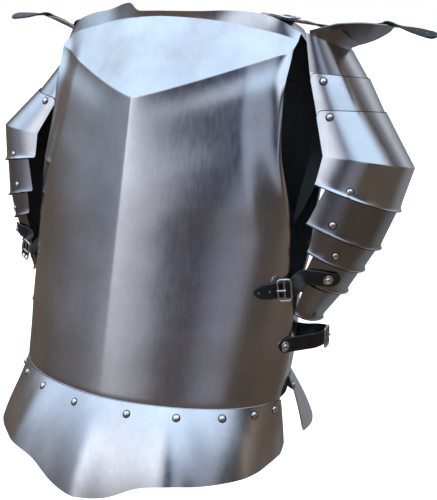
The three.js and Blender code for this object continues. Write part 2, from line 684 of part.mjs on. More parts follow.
const lifted = ({ point, normal }, lift) => ({ point: point.clone().addScaledVector(normal, lift), normal });
const breastAt = (row, across) => surfaceAt(breastPoint, row, across);
const backAt = (row, t) => surfaceAt(backPoint, row, t, -1);

// Side strap: from the breastplate's side edge out in a slack loop to the backplate.
// beyond: past waistHalfWidth. climb: share of the height between the strap's two ends.
const sideLoop = [
  { beyond: 15, behind: 20, climb: -0.15 },
  { beyond: 24, behind: 34, climb: -0.05 },
  { beyond: 27, behind: 50, climb: 0.50 },
  { beyond: 21, behind: 66, climb: 0.75 },
];
const sideLoopMiddle = 46;
const sideLoopHalf = 34;
const sideStrapBackRow = 2.7;

function sideStrapStations() {
  const start = lifted(breastAt(sideStrapShare, 0.92), touch);
  const edge = lifted(breastAt(sideStrapShare, 0.985), touch);
  const ends = [0.76, 0.66].map((t) => lifted(backAt(sideStrapBackRow, t), touch + clearance));
  const free = sideLoop.map(({ beyond, behind, climb }) => ({
    point: at(waistHalfWidth + beyond, behind, mix(start.point.z, ends[0].point.z, climb)),
    normal: at(1, (behind - sideLoopMiddle) / sideLoopHalf, 0).normalize() }));
  return [start, edge, ...free, ...ends];
}

// Arm strap: the buckle's strap from the sixth lame, and the strap with the tip, round the arm's inner side
const armLift = -nested + touch;
const armBuckle = { left: 199, behind: -9, rise: 139 };
const armTipShare = 0.335;
const armTipLift = 1.6;
const armTipReach = { left: [0.95, 0.88, 0.8, 0.72], right: [0.95, 0.88, 0.82] };
const armOnLame = [
  { v: 6.46, t: 0.36, lift: 0.9 },
  { v: 6.55, t: 0.24, lift: 1 },
  { v: 6.68, t: 0.12, lift: 1.2 },
  { v: 6.9, t: 0.015, lift: 3 },
];
const guardAt = (v, t, lift) => {
  const point = guardPoint(v, t, lift);
  const across = guardPoint(v, Math.min(t + 0.02, 1), lift).sub(guardPoint(v, Math.max(t - 0.02, 0), lift));
  const up = guardPoint(v - 0.1, t, lift).sub(guardPoint(v + 0.1, t, lift));
  return { point, normal: across.cross(up).normalize() };
};

function armStrapStations() {
  const onLame = armOnLame.map(({ v, t, lift }) => guardAt(v, t, armLift + lift));
  const { left, behind, rise } = armBuckle;
  return [...onLame, { point: at(left + 5, behind + 3, rise + 1), normal: at(0.4, -0.91, 0) },
    { point: at(left - 5, behind - 3, rise), normal: at(0.5, -0.87, 0) }];
}

// Between lame and breastplate the strap with the tip hangs clear of both. beyond: past waistHalfWidth,
// drop: below the strap's first row on the breastplate.
const armTipRun = [
  { beyond: 10.8, behind: 96, drop: 6, normal: at(1, 0.3, 0) },
  { beyond: 7.4, behind: 70, drop: 5, normal: at(1, 0, 0) },
  { beyond: 7.2, behind: 24, drop: 0, normal: at(1, 0, 0) },
];

// The strap with the tip ends at the last of the shares of the breastplate's half width
function armTipStations(shares) {
  const torso = shares.map((u) => lifted(breastAt(armTipShare, u), armTipLift));
  const start = guardAt(armOnLame[1].v, 0.93, -nested - steel - leather - 2 * touch - clearance);
  const free = armTipRun.map(({ beyond, behind, drop, normal }) => ({
    point: at(waistHalfWidth + beyond, behind, torso[0].point.z - drop), normal: normal.clone().normalize() }));
  return [start, ...free, ...torso];
}

// Shoulder: a strap lies over the wing and through a buckle on the backplate's tab, its tip to the neck
const wingStrapShare = 0.45;
// The strap between the neck and the guard, from guardTop. inside: towards the neck, above: over it.
const shoulderRun = [
  { inside: 55, above: 16.6 },
  { inside: 41, above: 14.2 },
  { inside: 25, above: 11.5 },
  { inside: 9, above: 9.4 },
];
const shoulderRunBehind = 22;
const shoulderUp = at(0.17, 0, 0.98).normalize();

function guardStrapStations() {
  const over = [0.34, 0.55, 0.8, 0.93].map((u) => lifted(surfaceAt(wingPoint, u, wingStrapShare, -1), nested + touch));
  const inward = shoulderRun.map(({ inside, above }) => ({
    point: at(guardTop.left - inside, guardTop.behind + shoulderRunBehind, guardTop.rise + above), normal: shoulderUp }));
  const root = over[over.length - 1];
  const free = [0.5, 1].map((f) => ({
    point: root.point.clone().add(at(wingStrapFree * f, -2 * f, -13 * f)), normal: at(0.15, 0.1, 0.98).normalize() }));
  return [...free.reverse(), ...over.reverse(), ...inward.reverse()];
}

function shoulderBaseStations() {
  return [0.8, 0.6, 0.4, 0.2].map((t) => lifted(backAt(15.5, t), touch + 0.4));
}

function shoulderJoinStations() {
  const under = -steel - touch;
  const flip = ({ point, normal }) => ({ point, normal: normal.clone().negate() });
  return [lifted(breastAt(1.7, 0.62), under), lifted(breastAt(1.9, 0.62), under),
    lifted(backAt(15.9, 0.5), under), lifted(backAt(15.2, 0.5), under)].map(flip);
}

add('breastplate', sheet(breastGrid), steelSatin);
add('backplate', backplate(), steelSatin);
add('front_skirt', joined(sheet(frontSkirtGrid), skirtRivets(frontSkirtPoint, frontSkirtRivets, frontSkirtDrop, -1)), steelSatin);
add('back_skirt', joined(sheet(backSkirtGrid), skirtRivets(backSkirtPoint, backSkirtRivets, backSkirtDrop, 1)), steelSatin);

// The guards hang from straps, so the wearer's right one has swung a little out and forward
const rightHang = { out: 10.8, forward: 4.2, round: 10.3 };
const rightSlip = at(16, 6, -7);
const rightPivot = at(-guardTop.left, guardTop.behind + guardHalfDepth * guardRings[0].depth, guardTop.rise);
const rightTurn = new THREE.Matrix4().makeTranslation(rightPivot.clone().add(rightSlip))
  .multiply(new THREE.Matrix4().makeRotationFromEuler(new THREE.Euler(
    THREE.MathUtils.degToRad(rightHang.forward), THREE.MathUtils.degToRad(rightHang.out),
    THREE.MathUtils.degToRad(rightHang.round), 'ZYX')))
  .multiply(new THREE.Matrix4().makeTranslation(rightPivot.clone().negate()));

function addPair(name, geometry, look) {
  add(`left_${name}`, geometry, look);
  add(`right_${name}`, mirrored(geometry), look);
}

function addGuardPair(name, geometry, look) {
  add(`left_${name}`, geometry, look);
  add(`right_${name}`, mirrored(geometry).applyMatrix4(rightTurn), look);
}

for (const plate of guardPlates) {
  const heads = guardRivets.filter((r) => r.plate === plate.name).map((r) => {
    const { point, normal } = guardAt(r.v, r.t, plate.layer * nested);
    return rivet(point, normal);
  });
  addGuardPair(plate.name, joined(guardPlate(plate), heads), plate.look);
}

// Head and washer of a strap's rivet, lying on the strap
function strapRivet({ point, normal }) {
  return rivet(point.clone().addScaledVector(normal, leather + touch / 2), normal, 0, true);
}

const guardStrap = guardStrapStations();
const armStrap = armStrapStations();
const sideStrap = sideStrapStations();
const buckleOn = (stations, i, f, lift = leather + touch / 2) => {
  const a = stations[i];
  const b = stations[i + 1];
  const normal = lerp(a.normal, b.normal, f).normalize();
  return buckle(lerp(a.point, b.point, f).addScaledVector(normal, lift), normal, b.point.clone().sub(a.point));
};

addGuardPair('guard_wing', wing(), steelDark);
const rightGuardStrap = guardStrap.map(({ point, normal }) => {
  const p = at(-point.x, point.y, point.z);
  const n = at(-normal.x, normal.y, normal.z);
  const hangs = point.x > guardTop.left;
  return hangs ? { point: p.applyMatrix4(rightTurn), normal: n.transformDirection(rightTurn) } : { point: p, normal: n };
});
add('left_guard_strap', strap(guardStrap), leatherBlack);
add('right_guard_strap', strap(rightGuardStrap), leatherBlack);
addPair('guard_buckle', buckleOn(guardStrap, guardStrap.length - 3, 0.5, leather + touch), buckleSteel);
addGuardPair('arm_strap', strap(armStrap, strapWidth, leather, false), leatherBlack);
addGuardPair('arm_strap_rivet', strapRivet(armStrap[1]), buckleSteel);
addGuardPair('arm_buckle', buckleOn(armStrap, armStrap.length - 2, 0.75), buckleSteel);
add('left_arm_strap_tip', strap(armTipStations(armTipReach.left)), leatherBlack);
add('right_arm_strap_tip', mirrored(strap(armTipStations(armTipReach.right))).applyMatrix4(rightTurn), leatherBlack);
addPair('side_strap', strap(sideStrap, strapWidth, leather, false), leatherBlack);
addPair('side_strap_rivet', strapRivet(lifted(breastAt(sideStrapShare, 0.95), touch)), buckleSteel);
addPair('side_buckle', buckleOn(sideStrap, 4, 0.1, leather + touch), buckleSteel);
addPair('shoulder_base_strap', strap(shoulderBaseStations(), strapWidth, leather, false), leatherBlack);
addPair('shoulder_joiner', strap(shoulderJoinStations(), strapWidth, leather, false), leatherBlack);

export default armour;
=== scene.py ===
# %% [markdown]
# # A steel breastplate, in Blender
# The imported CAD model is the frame: its nodes give every place and size. Each plate is built again here as a
# fine sheet over the same tables of sections, because a polished plate shows every facet in its reflections.

# %% Load the frame
import math
import bmesh
import bpy
import numpy as np
from mathutils import Matrix, Vector


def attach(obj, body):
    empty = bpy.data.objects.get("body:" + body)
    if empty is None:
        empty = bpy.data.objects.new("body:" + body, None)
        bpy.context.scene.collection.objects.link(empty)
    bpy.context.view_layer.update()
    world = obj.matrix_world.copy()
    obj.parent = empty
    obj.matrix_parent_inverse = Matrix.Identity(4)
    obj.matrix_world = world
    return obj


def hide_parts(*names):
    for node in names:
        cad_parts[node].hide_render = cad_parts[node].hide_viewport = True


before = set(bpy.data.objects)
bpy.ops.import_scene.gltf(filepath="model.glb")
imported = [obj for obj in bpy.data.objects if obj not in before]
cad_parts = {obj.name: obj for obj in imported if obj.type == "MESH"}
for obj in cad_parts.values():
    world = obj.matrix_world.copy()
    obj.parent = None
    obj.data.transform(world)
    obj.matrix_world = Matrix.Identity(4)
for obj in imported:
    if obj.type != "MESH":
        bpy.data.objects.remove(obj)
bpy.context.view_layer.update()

# %% [markdown]
# ## Sizes and tables
# The plates follow short tables of shares of a few named sizes, in millimetres, measured from the waist
# seam and the side line of the waist. `to_frame` moves such a place to the frame's origin at the shoulders,
# in metres.

# %% Named sizes
STEEL = 1.2
LEATHER = 2.4
CLEARANCE = 0.5
NESTED = STEEL + CLEARANCE
TOUCH = 0.6
STRAP_WIDTH = 19
RIVET_RADIUS = 4.2
WAIST_HALF = 192
WAIST_FORWARD = 116
CHEST_RISE = 357
CHEST_FORWARD = 40
RIDGE_END_RISE = 412
ARMHOLE_FLARE = 6
FLARE_FROM = 0.72
WAIST_TUCK = 18
ORIGIN = np.array([0.0, 80.0, 464.0])


def to_frame(places):
    return (np.asarray(places, float) - ORIGIN) / 1000


# %% Smooth tables
def along(rows, t):
    """Values of a table at t, from 0 to 1 over its rows, on a smooth curve through them."""
    rows = np.asarray(rows, float)
    last = len(rows) - 1
    place = np.clip(np.asarray(t, float), 0, 1) * last
    i = np.minimum(place.astype(int), last - 1)
    f = (place - i)[..., None]
    a, b, c, d = rows[np.maximum(i - 1, 0)], rows[i], rows[i + 1], rows[np.minimum(i + 2, last)]
    square, cube = 2 * a - 5 * b + 4 * c - d, 3 * b - a - 3 * c + d
    return 0.5 * (2 * b + (c - a) * f + square * f ** 2 + cube * f ** 3)


def blend_between(a, b, t):
    return a + (b - a) * t


def smoothstep(x, low, high):
    f = np.clip((x - low) / (high - low), 0, 1)
    return f * f * (3 - 2 * f)


def stack(x, y, z):
    return np.stack(np.broadcast_arrays(x, y, z), -1).astype(float)


# %% [markdown]
# ## The breastplate's surface
# Two flat panels meet in a ridge down the middle and end above in two slanting ridges, where a third facet
# leans back to the neck. The section changes from nearly round at the waist to a wedge at the chest.

# %% Breastplate surface
# Share of the waist's half width, of the waist's forward reach, and how flat the panels are
BREAST_SECTIONS = [
    (0.995, -0.069, 0.10), (1.014, 0.026, 0.15), (1.024, 0.082, 0.20), (1.022, 0.116, 0.28),
    (1.017, 0.142, 0.36), (1.009, 0.149, 0.45), (0.974, 0.098, 0.55), (0.928, 0.103, 0.66),
    (0.903, 0.171, 0.78), (0.896, 0.241, 0.90), (0.904, 0.379, 1.00)]
# Share of the ridge's half width, then behind, drop, height and lean of the turned-up flange
FLANGE_FOOT = [
    (0.00, 1.00, 0.00, 0.36, -0.15), (0.16, 1.06, 0.06, 0.40, -0.10), (0.31, 1.24, 0.16, 0.50, 0.00),
    (0.46, 1.50, 0.34, 0.72, 0.20), (0.60, 1.66, 0.60, 0.92, 0.36), (0.74, 1.86, 0.86, 1.00, 0.34),
    (0.88, 2.08, 1.14, 0.84, 0.20), (1.00, 2.30, 1.56, 0.50, 0.35)]
NECK_RISE, NECK_BEHIND, FLANGE_HEIGHT, NECK_FLANGE = 451, 25, 18, 6.5
# The flange stands higher at one corner of the neck, on the wearer's right
CORNER_LIFT, CORNER_PEAK, CORNER_INNER, CORNER_OUTER = 10, 0.27, 0.05, 0.17


def panel_point(s, u):
    """Lower panels: s from the waist to the slanting ridges, u from the middle to the side edge."""
    s, u = np.broadcast_arrays(np.asarray(s, float), np.asarray(u, float))
    left, behind, wedge = np.moveaxis(along(BREAST_SECTIONS, s), -1, 0)
    q = blend_between(np.sin(u * math.pi / 2), u, wedge)
    curve = blend_between(1 - np.sqrt(np.maximum(1 - q * q, 0)), np.abs(q) ** 1.22, wedge)
    middle = -blend_between(WAIST_FORWARD, CHEST_FORWARD, s)
    w = np.maximum((u - FLARE_FROM) / (1 - FLARE_FROM), 0)
    hollow = ARMHOLE_FLARE * smoothstep(s, 0.45, 0.62) * 5 * w * w * (1 - w)
    return stack(WAIST_HALF * left * q, blend_between(middle, WAIST_FORWARD * behind, curve) + hollow,
                 blend_between(CHEST_RISE * s, RIDGE_END_RISE * s, np.abs(q) ** 1.2))


RIDGE_HALF = panel_point(1.0, 1.0)[0]


def flange_point(u, f, side):
    left, behind, drop, height, lean = np.moveaxis(along(FLANGE_FOOT, u), -1, 0)
    tall = blend_between(NECK_FLANGE, FLANGE_HEIGHT, np.clip((height - 0.36) / 0.64, 0, 1))
    slope = np.where(u < CORNER_PEAK, CORNER_INNER, CORNER_OUTER)
    lifted = np.where(side < 0, CORNER_LIFT * np.exp(-((u - CORNER_PEAK) / slope) ** 2), 0)
    return stack(RIDGE_HALF * left, NECK_BEHIND * behind + FLANGE_HEIGHT * lean * f,
                 NECK_RISE - FLANGE_HEIGHT * drop + (tall + lifted) * f)


def breast_point(row, across):
    """Row -1 is the tuck under the skirt, 0 the waist, 1 the ridges, 2 the flange's foot and 3 its edge."""
    row, across = np.broadcast_arrays(np.asarray(row, float), np.asarray(across, float))
    side = np.where(across < 0, -1.0, 1.0)
    u = np.abs(across)
    panel = panel_point(np.clip(row, 0, 1), u)
    inward = 1 + np.minimum(row, 0) * NESTED / np.hypot(panel[..., 0], panel[..., 1])
    tucked = stack(panel[..., 0] * inward, panel[..., 1] * inward, row * WAIST_TUCK)
    top = blend_between(panel_point(1.0, u), flange_point(u, 0.0, side), np.clip(row - 1, 0, 1)[..., None])
    flange = flange_point(u, np.clip(row - 2, 0, 1), side)
    row = row[..., None]
    point = np.where(row <= 0, tucked, np.where(row <= 1, panel, np.where(row <= 2, top, flange)))
    point[..., 0] *= side
    return point


print("ridge end", breast_point(1.0, 1.0).round(1), "chest point", breast_point(1.0, 0.0).round(1))

# %% [markdown]
# ## The backplate's surface
# Each row is one smooth curve from the middle of the back, or the neck's edge, to the side edge. The lower
# rows lie inside the breastplate's side edge. The upper ones rise round the arm, where the edge is turned
# out, and end in a shoulder tab.

# %% Backplate surface
BACK_BEHIND, BACK_RISE, BLADE_BEHIND, TAB_FRONT = 119, 436, 184, 78
ROUNDNESS, TUCK_CLEARANCE = 0.56, 0.4
# Above 1, so that the back swells late on its way up to the shoulder blades
BLADES_LATE = 1.15
TUCK_ROWS = [0, 0.045, 0.1, 0.2, 0.3, 0.4, 0.5]
# Side edge: share of half width, of blade depth and of height, then the same for the inner end
BACK_SECTIONS = [
    (0.992, 0.163, 0.518, 0, 0.853, 0.550), (0.979, 0.261, 0.564, 0, 0.891, 0.615),
    (0.958, 0.370, 0.601, 0, 0.924, 0.674), (0.927, 0.500, 0.658, 0, 0.962, 0.743),
    (0.891, 0.609, 0.757, 0, 0.995, 0.830), (0.865, 0.652, 0.860, 0, 1.000, 0.922),
    (0.833, 0.625, 0.936, 0, 0.967, 1.000), (0.802, 0.554, 0.982, 0.323, 0.902, 1.028),
    (0.776, 0.478, 1.005, 0.438, 0.707, 1.044), (0.760, 0, 1.009, 0.479, 0, 1.025)]


def surface_at(point_of, a, b, flip=1):
    """Point and outward normal of a surface given as a function of two values."""
    point = point_of(a, b)
    across = point_of(a, b + 0.01) - point_of(a, b - 0.01)
    up = point_of(a + 0.01, b) - point_of(a - 0.01, b)
    normal = np.cross(across, up)
    return point, flip * normal / np.linalg.norm(normal, axis=-1, keepdims=True)


def back_ends():
    edges, inners = [], []
    full = BACK_SECTIONS[0][5] * BACK_RISE
    for s in TUCK_ROWS:
        point, normal = surface_at(breast_point, max(s, 0.004), 0.99)
        edge = breast_point(s, 1.0) - normal * (NESTED + TUCK_CLEARANCE)
        climbed = (edge[2] / full) ** BLADES_LATE if edge[2] > 0 else 0
        bulge = blend_between(BACK_BEHIND, BLADE_BEHIND * BACK_SECTIONS[0][4], climbed)
        edges.append(edge)
        inners.append((0, bulge, edge[2]))
    for k, (el, eb, er, il, ib, ir) in enumerate(BACK_SECTIONS):
        front = TAB_FRONT if k == len(BACK_SECTIONS) - 1 else 0
        edges.append((WAIST_HALF * el, BLADE_BEHIND * eb + front, BACK_RISE * er))
        inners.append((WAIST_HALF * il, BLADE_BEHIND * ib + front, BACK_RISE * ir))
    return np.array(edges, float), np.array(inners, float)


BACK_EDGES, BACK_INNERS = back_ends()
BACK_LAST = len(BACK_EDGES) - 1
# The last row that is joined smoothly to the next
LAST_SMOOTH_ROW = 12
# How far the edge is turned out round the armhole, for each row
BACK_RIMS = np.array([0.0] * len(TUCK_ROWS) + [8, 14, 17, 17, 15, 11, 7, 3, 3, 3])
# The side swells out behind the edge under the arm, from row to row
SIDE_SWELL, SWELL_RISES, SWELL_ENDS = 44, (3.6, 6), (10.5, 12.5)


def back_row(table, row):
    """Straight between the rows round the neck, smooth below them."""
    i = np.minimum(np.asarray(row, float).astype(int), BACK_LAST - 1)
    f = (row - i)[..., None]
    straight = table[i] + (table[i + 1] - table[i]) * f
    return np.where((row > LAST_SMOOTH_ROW)[..., None], straight, along(table, row / BACK_LAST))


def back_point(row, t):
    """t is 0 in the middle of the back, 1 at the side edge and 2 at the rim turned out from it."""
    row, t = np.broadcast_arrays(np.asarray(row, float), np.asarray(t, float))
    a, d = back_row(BACK_INNERS, row), back_row(BACK_EDGES, row)
    b = stack(blend_between(a[..., 0], d[..., 0], ROUNDNESS), a[..., 1],
              blend_between(a[..., 2], d[..., 2], 0.2))
    swell = SIDE_SWELL * smoothstep(row, *SWELL_RISES) * (1 - smoothstep(row, *SWELL_ENDS))
    c = stack(d[..., 0] + swell, blend_between(d[..., 1], a[..., 1], ROUNDNESS),
              blend_between(d[..., 2], a[..., 2], 0.25))
    out = np.clip(t - 1, 0, 1)
    rim = back_row(BACK_RIMS[:, None], row)[..., 0]
    t = np.clip(t, 0, 1)[..., None]
    turned = stack(rim * out, -2.5 * np.minimum(rim, 1) * out ** 2, 0 * out)
    return (1 - t) ** 3 * a + 3 * (1 - t) ** 2 * t * b + 3 * (1 - t) * t * t * c + t ** 3 * d + turned


print("middle of the back", back_point(8.0, 0.0).round(1))

# %% [markdown]
# ## The shoulder guards' surface
# Nine rings run from the shoulder to the cuff. A plate is the strip between two rings, lifted by whole layers
# so that each plate rides over or under the next. A mitre at each ring keeps the layers an even distance
# apart.

# %% Guard surface
GUARD_HALF_DEPTH, GUARD_REACH, GUARD_SQUARENESS = 65, 78, 0.87
GUARD_TOP = np.array([181.0, 62.0, 433.0])
# Left, behind, rise, reach and depth as shares, then how far the ring tilts outwards and backwards
GUARD_RINGS = np.array([
    (0.00, 0.000, 0.000, 0.375, 0.77, -0.40, -0.17), (0.10, -0.050, -0.588, 0.535, 0.89, -0.08, -0.10),
    (0.29, -0.175, -1.138, 0.660, 0.95, 0.00, -0.10), (0.525, -0.365, -1.800, 1.000, 1.00, -0.08, -0.15),
    (0.4625, -0.475, -2.213, 0.888, 0.98, -0.295, -0.20), (0.388, -0.600, -2.788, 0.750, 0.92, -0.386, -0.20),
    (0.42, -0.625, -3.213, 0.510, 0.83, -0.48, -0.20), (0.32, -0.625, -3.660, 0.390, 0.74, -0.48, -0.20),
    (0.19, -0.600, -4.230, 0.200, 0.53, -0.55, -0.20)])


def ring_point(k, t):
    left, behind, rise, reach, depth, tilt_out, tilt_back = GUARD_RINGS[k]
    angle = math.pi * (np.asarray(t, float) - 0.5)
    out = GUARD_REACH * reach * np.maximum(np.cos(angle), 0) ** GUARD_SQUARENESS
    half = GUARD_HALF_DEPTH * depth
    back = half + half * np.sign(angle) * np.abs(np.sin(angle)) ** GUARD_SQUARENESS
    return stack(GUARD_TOP[0] + GUARD_REACH * left + out, GUARD_TOP[1] + GUARD_REACH * behind + back,
                 GUARD_TOP[2] + GUARD_REACH * rise + tilt_out * out + tilt_back * back)


def ring_mitre(k, t):
    normals = []
    for i in (k - 1, k):
        if 0 <= i < len(GUARD_RINGS) - 1:
            low, high = np.maximum(t - 0.02, 0.001), np.minimum(t + 0.02, 0.999)
            across = ring_point(i, high) + ring_point(i + 1, high)
            across = across - ring_point(i, low) - ring_point(i + 1, low)
            normal = np.cross(across, ring_point(i, t) - ring_point(i + 1, t))
            normals.append(normal / np.linalg.norm(normal, axis=-1, keepdims=True))
    total = sum(normals)
    total = total / np.linalg.norm(total, axis=-1, keepdims=True)
    return total / np.sum(total * normals[0], -1, keepdims=True)


def guard_point(v, t, lift=0.0):
    """v counts the rings, t runs from the front edge to the rear edge, lift is outwards in millimetres."""
    v, t, lift = (np.asarray(x, float) for x in np.broadcast_arrays(v, t, lift))
    point = np.zeros(v.shape + (3,))
    for k in range(len(GUARD_RINGS) - 1):
        here = (np.minimum(v.astype(int), len(GUARD_RINGS) - 2) == k)
        if here.any():
            low = ring_point(k, t[here]) + ring_mitre(k, t[here]) * lift[here][:, None]
            high = ring_point(k + 1, t[here]) + ring_mitre(k + 1, t[here]) * lift[here][:, None]
            point[here] = low + (high - low) * (v[here] - k)[:, None]
    return point


print("widest ring", guard_point(3.0, 0.5).round(1))

# %% [markdown]
# ## The wearer's right side
# Mirrored pieces serve the other side. The guards hang on straps, and in the rest pose the right one has
# swung out and round, so its pieces are mirrored and then turned about the guard's top, as in the CAD.

# %% Right guard's pose
RIGHT_OUT, RIGHT_FORWARD, RIGHT_ROUND = (math.radians(v) for v in (10.8, 4.2, 10.3))
RIGHT_SLIP = np.array([16.0, 6.0, -7.0])
RIGHT_PIVOT = GUARD_TOP * np.array([-1, 1, 1]) + np.array([0, GUARD_HALF_DEPTH * GUARD_RINGS[0][4], 0])
RIGHT_TURN = np.array(Matrix.Rotation(RIGHT_ROUND, 3, "Z") @ Matrix.Rotation(RIGHT_OUT, 3, "Y")
                      @ Matrix.Rotation(RIGHT_FORWARD, 3, "X"))


def plain(points):
    return np.asarray(points, float)


def mirrored(points):
    return np.asarray(points, float) * np.array([-1.0, 1.0, 1.0])


def hung_right(points):
    return (mirrored(points) - RIGHT_PIVOT) @ RIGHT_TURN.T + RIGHT_PIVOT + RIGHT_SLIP


def turn_right(normals):
    return mirrored(normals) @ RIGHT_TURN.T


print("right guard's top", hung_right(GUARD_TOP).round(1))

# %% [markdown]
# ## Shader maths
# One small class wraps a socket, so that a material is written as expressions: `1 - mask` adds its Math node.
# Every other node comes from `node`, which takes its settings first and then its sockets.


# %% Shader helpers
class Wire:
    def __init__(self, tree, socket):
        self.tree, self.socket = tree, socket

    def _math(self, operation, a, b=0.0):
        return node(self.tree, "ShaderNodeMath", {"operation": operation}, {0: a, 1: b})[0]

    def __add__(self, other):
        return self._math("ADD", self, other)

    def __radd__(self, other):
        return self._math("ADD", other, self)

    def __sub__(self, other):
        return self._math("SUBTRACT", self, other)

    def __rsub__(self, other):
        return self._math("SUBTRACT", other, self)

    def __mul__(self, other):
        return self._math("MULTIPLY", self, other)

    def __rmul__(self, other):
        return self._math("MULTIPLY", other, self)

    def __truediv__(self, other):
        return self._math("DIVIDE", self, other)

    def __pow__(self, other):
        return self._math("POWER", self, other)

    def clamp(self):
        return self._math("MINIMUM", self._math("MAXIMUM", self, 0.0), 1.0)

    def abs(self):
        return self._math("ABSOLUTE", self)

    def ramp(self, low, high):
        """0 below low, 1 above high, smooth between them."""
        return node(self.tree, "ShaderNodeMapRange", {"interpolation_type": "SMOOTHSTEP"},
                    {0: self, 1: low, 2: high, 3: 0.0, 4: 1.0})[0]


def node(tree, kind, settings=None, sockets=None):
    made = tree.nodes.new(kind)
    for key, value in (settings or {}).items():
        if key == "stops":
            ramp = made.color_ramp
            while len(ramp.elements) < len(value):
                ramp.elements.new(0.5)
            for element, (place, colour) in zip(ramp.elements, value):
                element.position, element.color = place, (*colour, 1.0)
        else:
            setattr(made, key, value)
    for key, value in (sockets or {}).items():
        socket = made.inputs[key]
        if isinstance(value, Wire):
            tree.links.new(value.socket, socket)
        else:
            socket.default_value = value
    return [Wire(tree, s) for s in made.outputs]


def mixed(tree, factor, a, b):
    """Mix of two colours, each a wire or (r, g, b)."""
    a, b = (x if isinstance(x, Wire) else (*x, 1.0) for x in (a, b))
    return node(tree, "ShaderNodeMix", {"data_type": "RGBA"}, {0: factor, 6: a, 7: b})[2]


def noise(tree, where, scale, detail=3.0, rough=0.55, stretch=(1, 1, 1), shift=(0, 0, 0)):
    place = node(tree, "ShaderNodeMapping", {}, {0: where, 1: shift, 3: stretch})[0]
    sockets = {"Vector": place, "Scale": scale, "Detail": detail, "Roughness": rough}
    return node(tree, "ShaderNodeTexNoise", {}, sockets)[0]


def new_material(name):
    material = bpy.data.materials.new(name)
    material.use_nodes = True
    tree = material.node_tree
    tree.nodes.clear()
    shader = tree.nodes.new("ShaderNodeBsdfPrincipled")
    output = tree.nodes.new("ShaderNodeOutputMaterial")
    tree.links.new(shader.outputs[0], output.inputs[0])
    return material, tree, shader


def feed(tree, shader, **sockets):
    for key, value in sockets.items():
        socket = shader.inputs[key.replace("_", " ")]
        if isinstance(value, Wire):
            tree.links.new(value.socket, socket)
        else:
            socket.default_value = value


# %% [markdown]
# ## Steel finishes
# The plates are satin polished: long fine polishing lines, a faint cloudiness and a few darker stains. The
# inside is near black: its scale and rust flecks are the forge's, and so dark a finish is also painted shade
# for the hollow of the shells. Noise on Object coordinates gives the clouds and stains, and noise that is
# stretched lengthwise gives the polishing lines. A picture of such a plate could be laid on it instead, but
# noise has no seams and stays sharp close up.


# %% Steel
POLISH_LINES, CROSS_LINES = (260, 260, 9), (30, 30, 520)


def steel_material(name, colour, stain, roughness, stained=0.5):
    material, tree, shader = new_material(name)
    where = node(tree, "ShaderNodeTexCoord")[3]
    clouds = noise(tree, where, 9.0, 4.0, 0.6)
    mottle = noise(tree, where, 60.0, 3.0, 0.6)
    polish = noise(tree, where, 1.0, 2.0, 0.5, POLISH_LINES)
    across = noise(tree, where, 1.0, 2.0, 0.5, CROSS_LINES, (3, 1, 2))
    patches = noise(tree, where, 5.0, 5.0, 0.65, shift=(4, 2, 7)).ramp(0.52, 0.74) * stained
    brighter = tuple(min(c * 1.13, 1) for c in colour)
    darker = tuple(c * 0.9 for c in colour)
    body = mixed(tree, clouds.ramp(0.3, 0.7), darker, brighter)
    body = mixed(tree, patches, body, stain)
    body = mixed(tree, mottle.ramp(0.55, 0.8) * 0.12, body, tuple(c * 0.62 for c in colour))
    rough = roughness + (clouds - 0.5) * 0.09 + (polish - 0.5) * 0.12 + patches * 0.08
    height = polish * 0.5 + across * 0.3 + mottle * 0.5
    bump = node(tree, "ShaderNodeBump", {}, {"Strength": 0.12, "Distance": 0.0004, "Height": height})[0]
    feed(tree, shader, Base_Color=body, Metallic=1.0, Roughness=rough.clamp(), Normal=bump)
    return material


steel_satin = steel_material("steel_satin", (0.60, 0.62, 0.66), (0.43, 0.38, 0.35), 0.20)
steel_skirt = steel_material("steel_skirt", (0.64, 0.655, 0.69), (0.50, 0.46, 0.43), 0.22)
# A darker copy of the same satin steel: its darkness is painted shade, used on the lames and the wings.
steel_lame = steel_material("steel_lame", (0.34, 0.34, 0.365), (0.25, 0.225, 0.21), 0.26)
steel_bright = steel_material("steel_bright", (0.74, 0.74, 0.75), (0.5, 0.48, 0.46), 0.18, stained=0.2)
print("steel finishes:", [m.name for m in bpy.data.materials if m.name.startswith("steel")])


# %% Black inside, partly painted shade
def blackened_inside_and_painted_shade():
    material, tree, shader = new_material("blackened_inside_and_painted_shade")
    where = node(tree, "ShaderNodeTexCoord")[3]
    scale = noise(tree, where, 45.0, 5.0, 0.65)
    rust = noise(tree, where, 12.0, 4.0, 0.6, shift=(2, 5, 1)).ramp(0.6, 0.8)
    # Near black: the scale and rust are the inside's own, but the near-black level is painted shade. The same
    # finish also paints shade on black edges, on lap strips and in rings round rivet heads.
    colour = mixed(tree, scale.ramp(0.3, 0.7), (0.010, 0.010, 0.011), (0.030, 0.028, 0.028))
    colour = mixed(tree, rust * 0.5, colour, (0.040, 0.026, 0.019))
    bump = node(tree, "ShaderNodeBump", {}, {"Strength": 0.3, "Distance": 0.0006, "Height": scale})[0]
    feed(tree, shader, Base_Color=colour, Metallic=0.3, Roughness=0.55 + scale * 0.25, Normal=bump)
    return material


dark_inside_and_painted_shade = blackened_inside_and_painted_shade()

# %% [markdown]
# ## A sheet from a surface
# Every plate is one open grid of points that faces outwards. A Solidify modifier gives it the sheet's real
# thickness inwards, with the black finish on its inner side, partly painted shade, and steel or black on its
# edges, where the black is painted shade.


# %% Mesh helpers
MERGE_WITHIN = 0.00002


def mesh_piece(name, points, faces, materials, face_slots=None):
    mesh = bpy.data.meshes.new(name)
    mesh.from_pydata([tuple(p) for p in to_frame(points)], [], [tuple(int(i) for i in f) for f in faces])
    for material in materials:
        mesh.materials.append(material)
    if face_slots is not None:
        mesh.polygons.foreach_set("material_index", face_slots)
    mesh.update()
    piece = bpy.data.objects.new(name, mesh)
    bpy.context.scene.collection.objects.link(piece)
    return piece


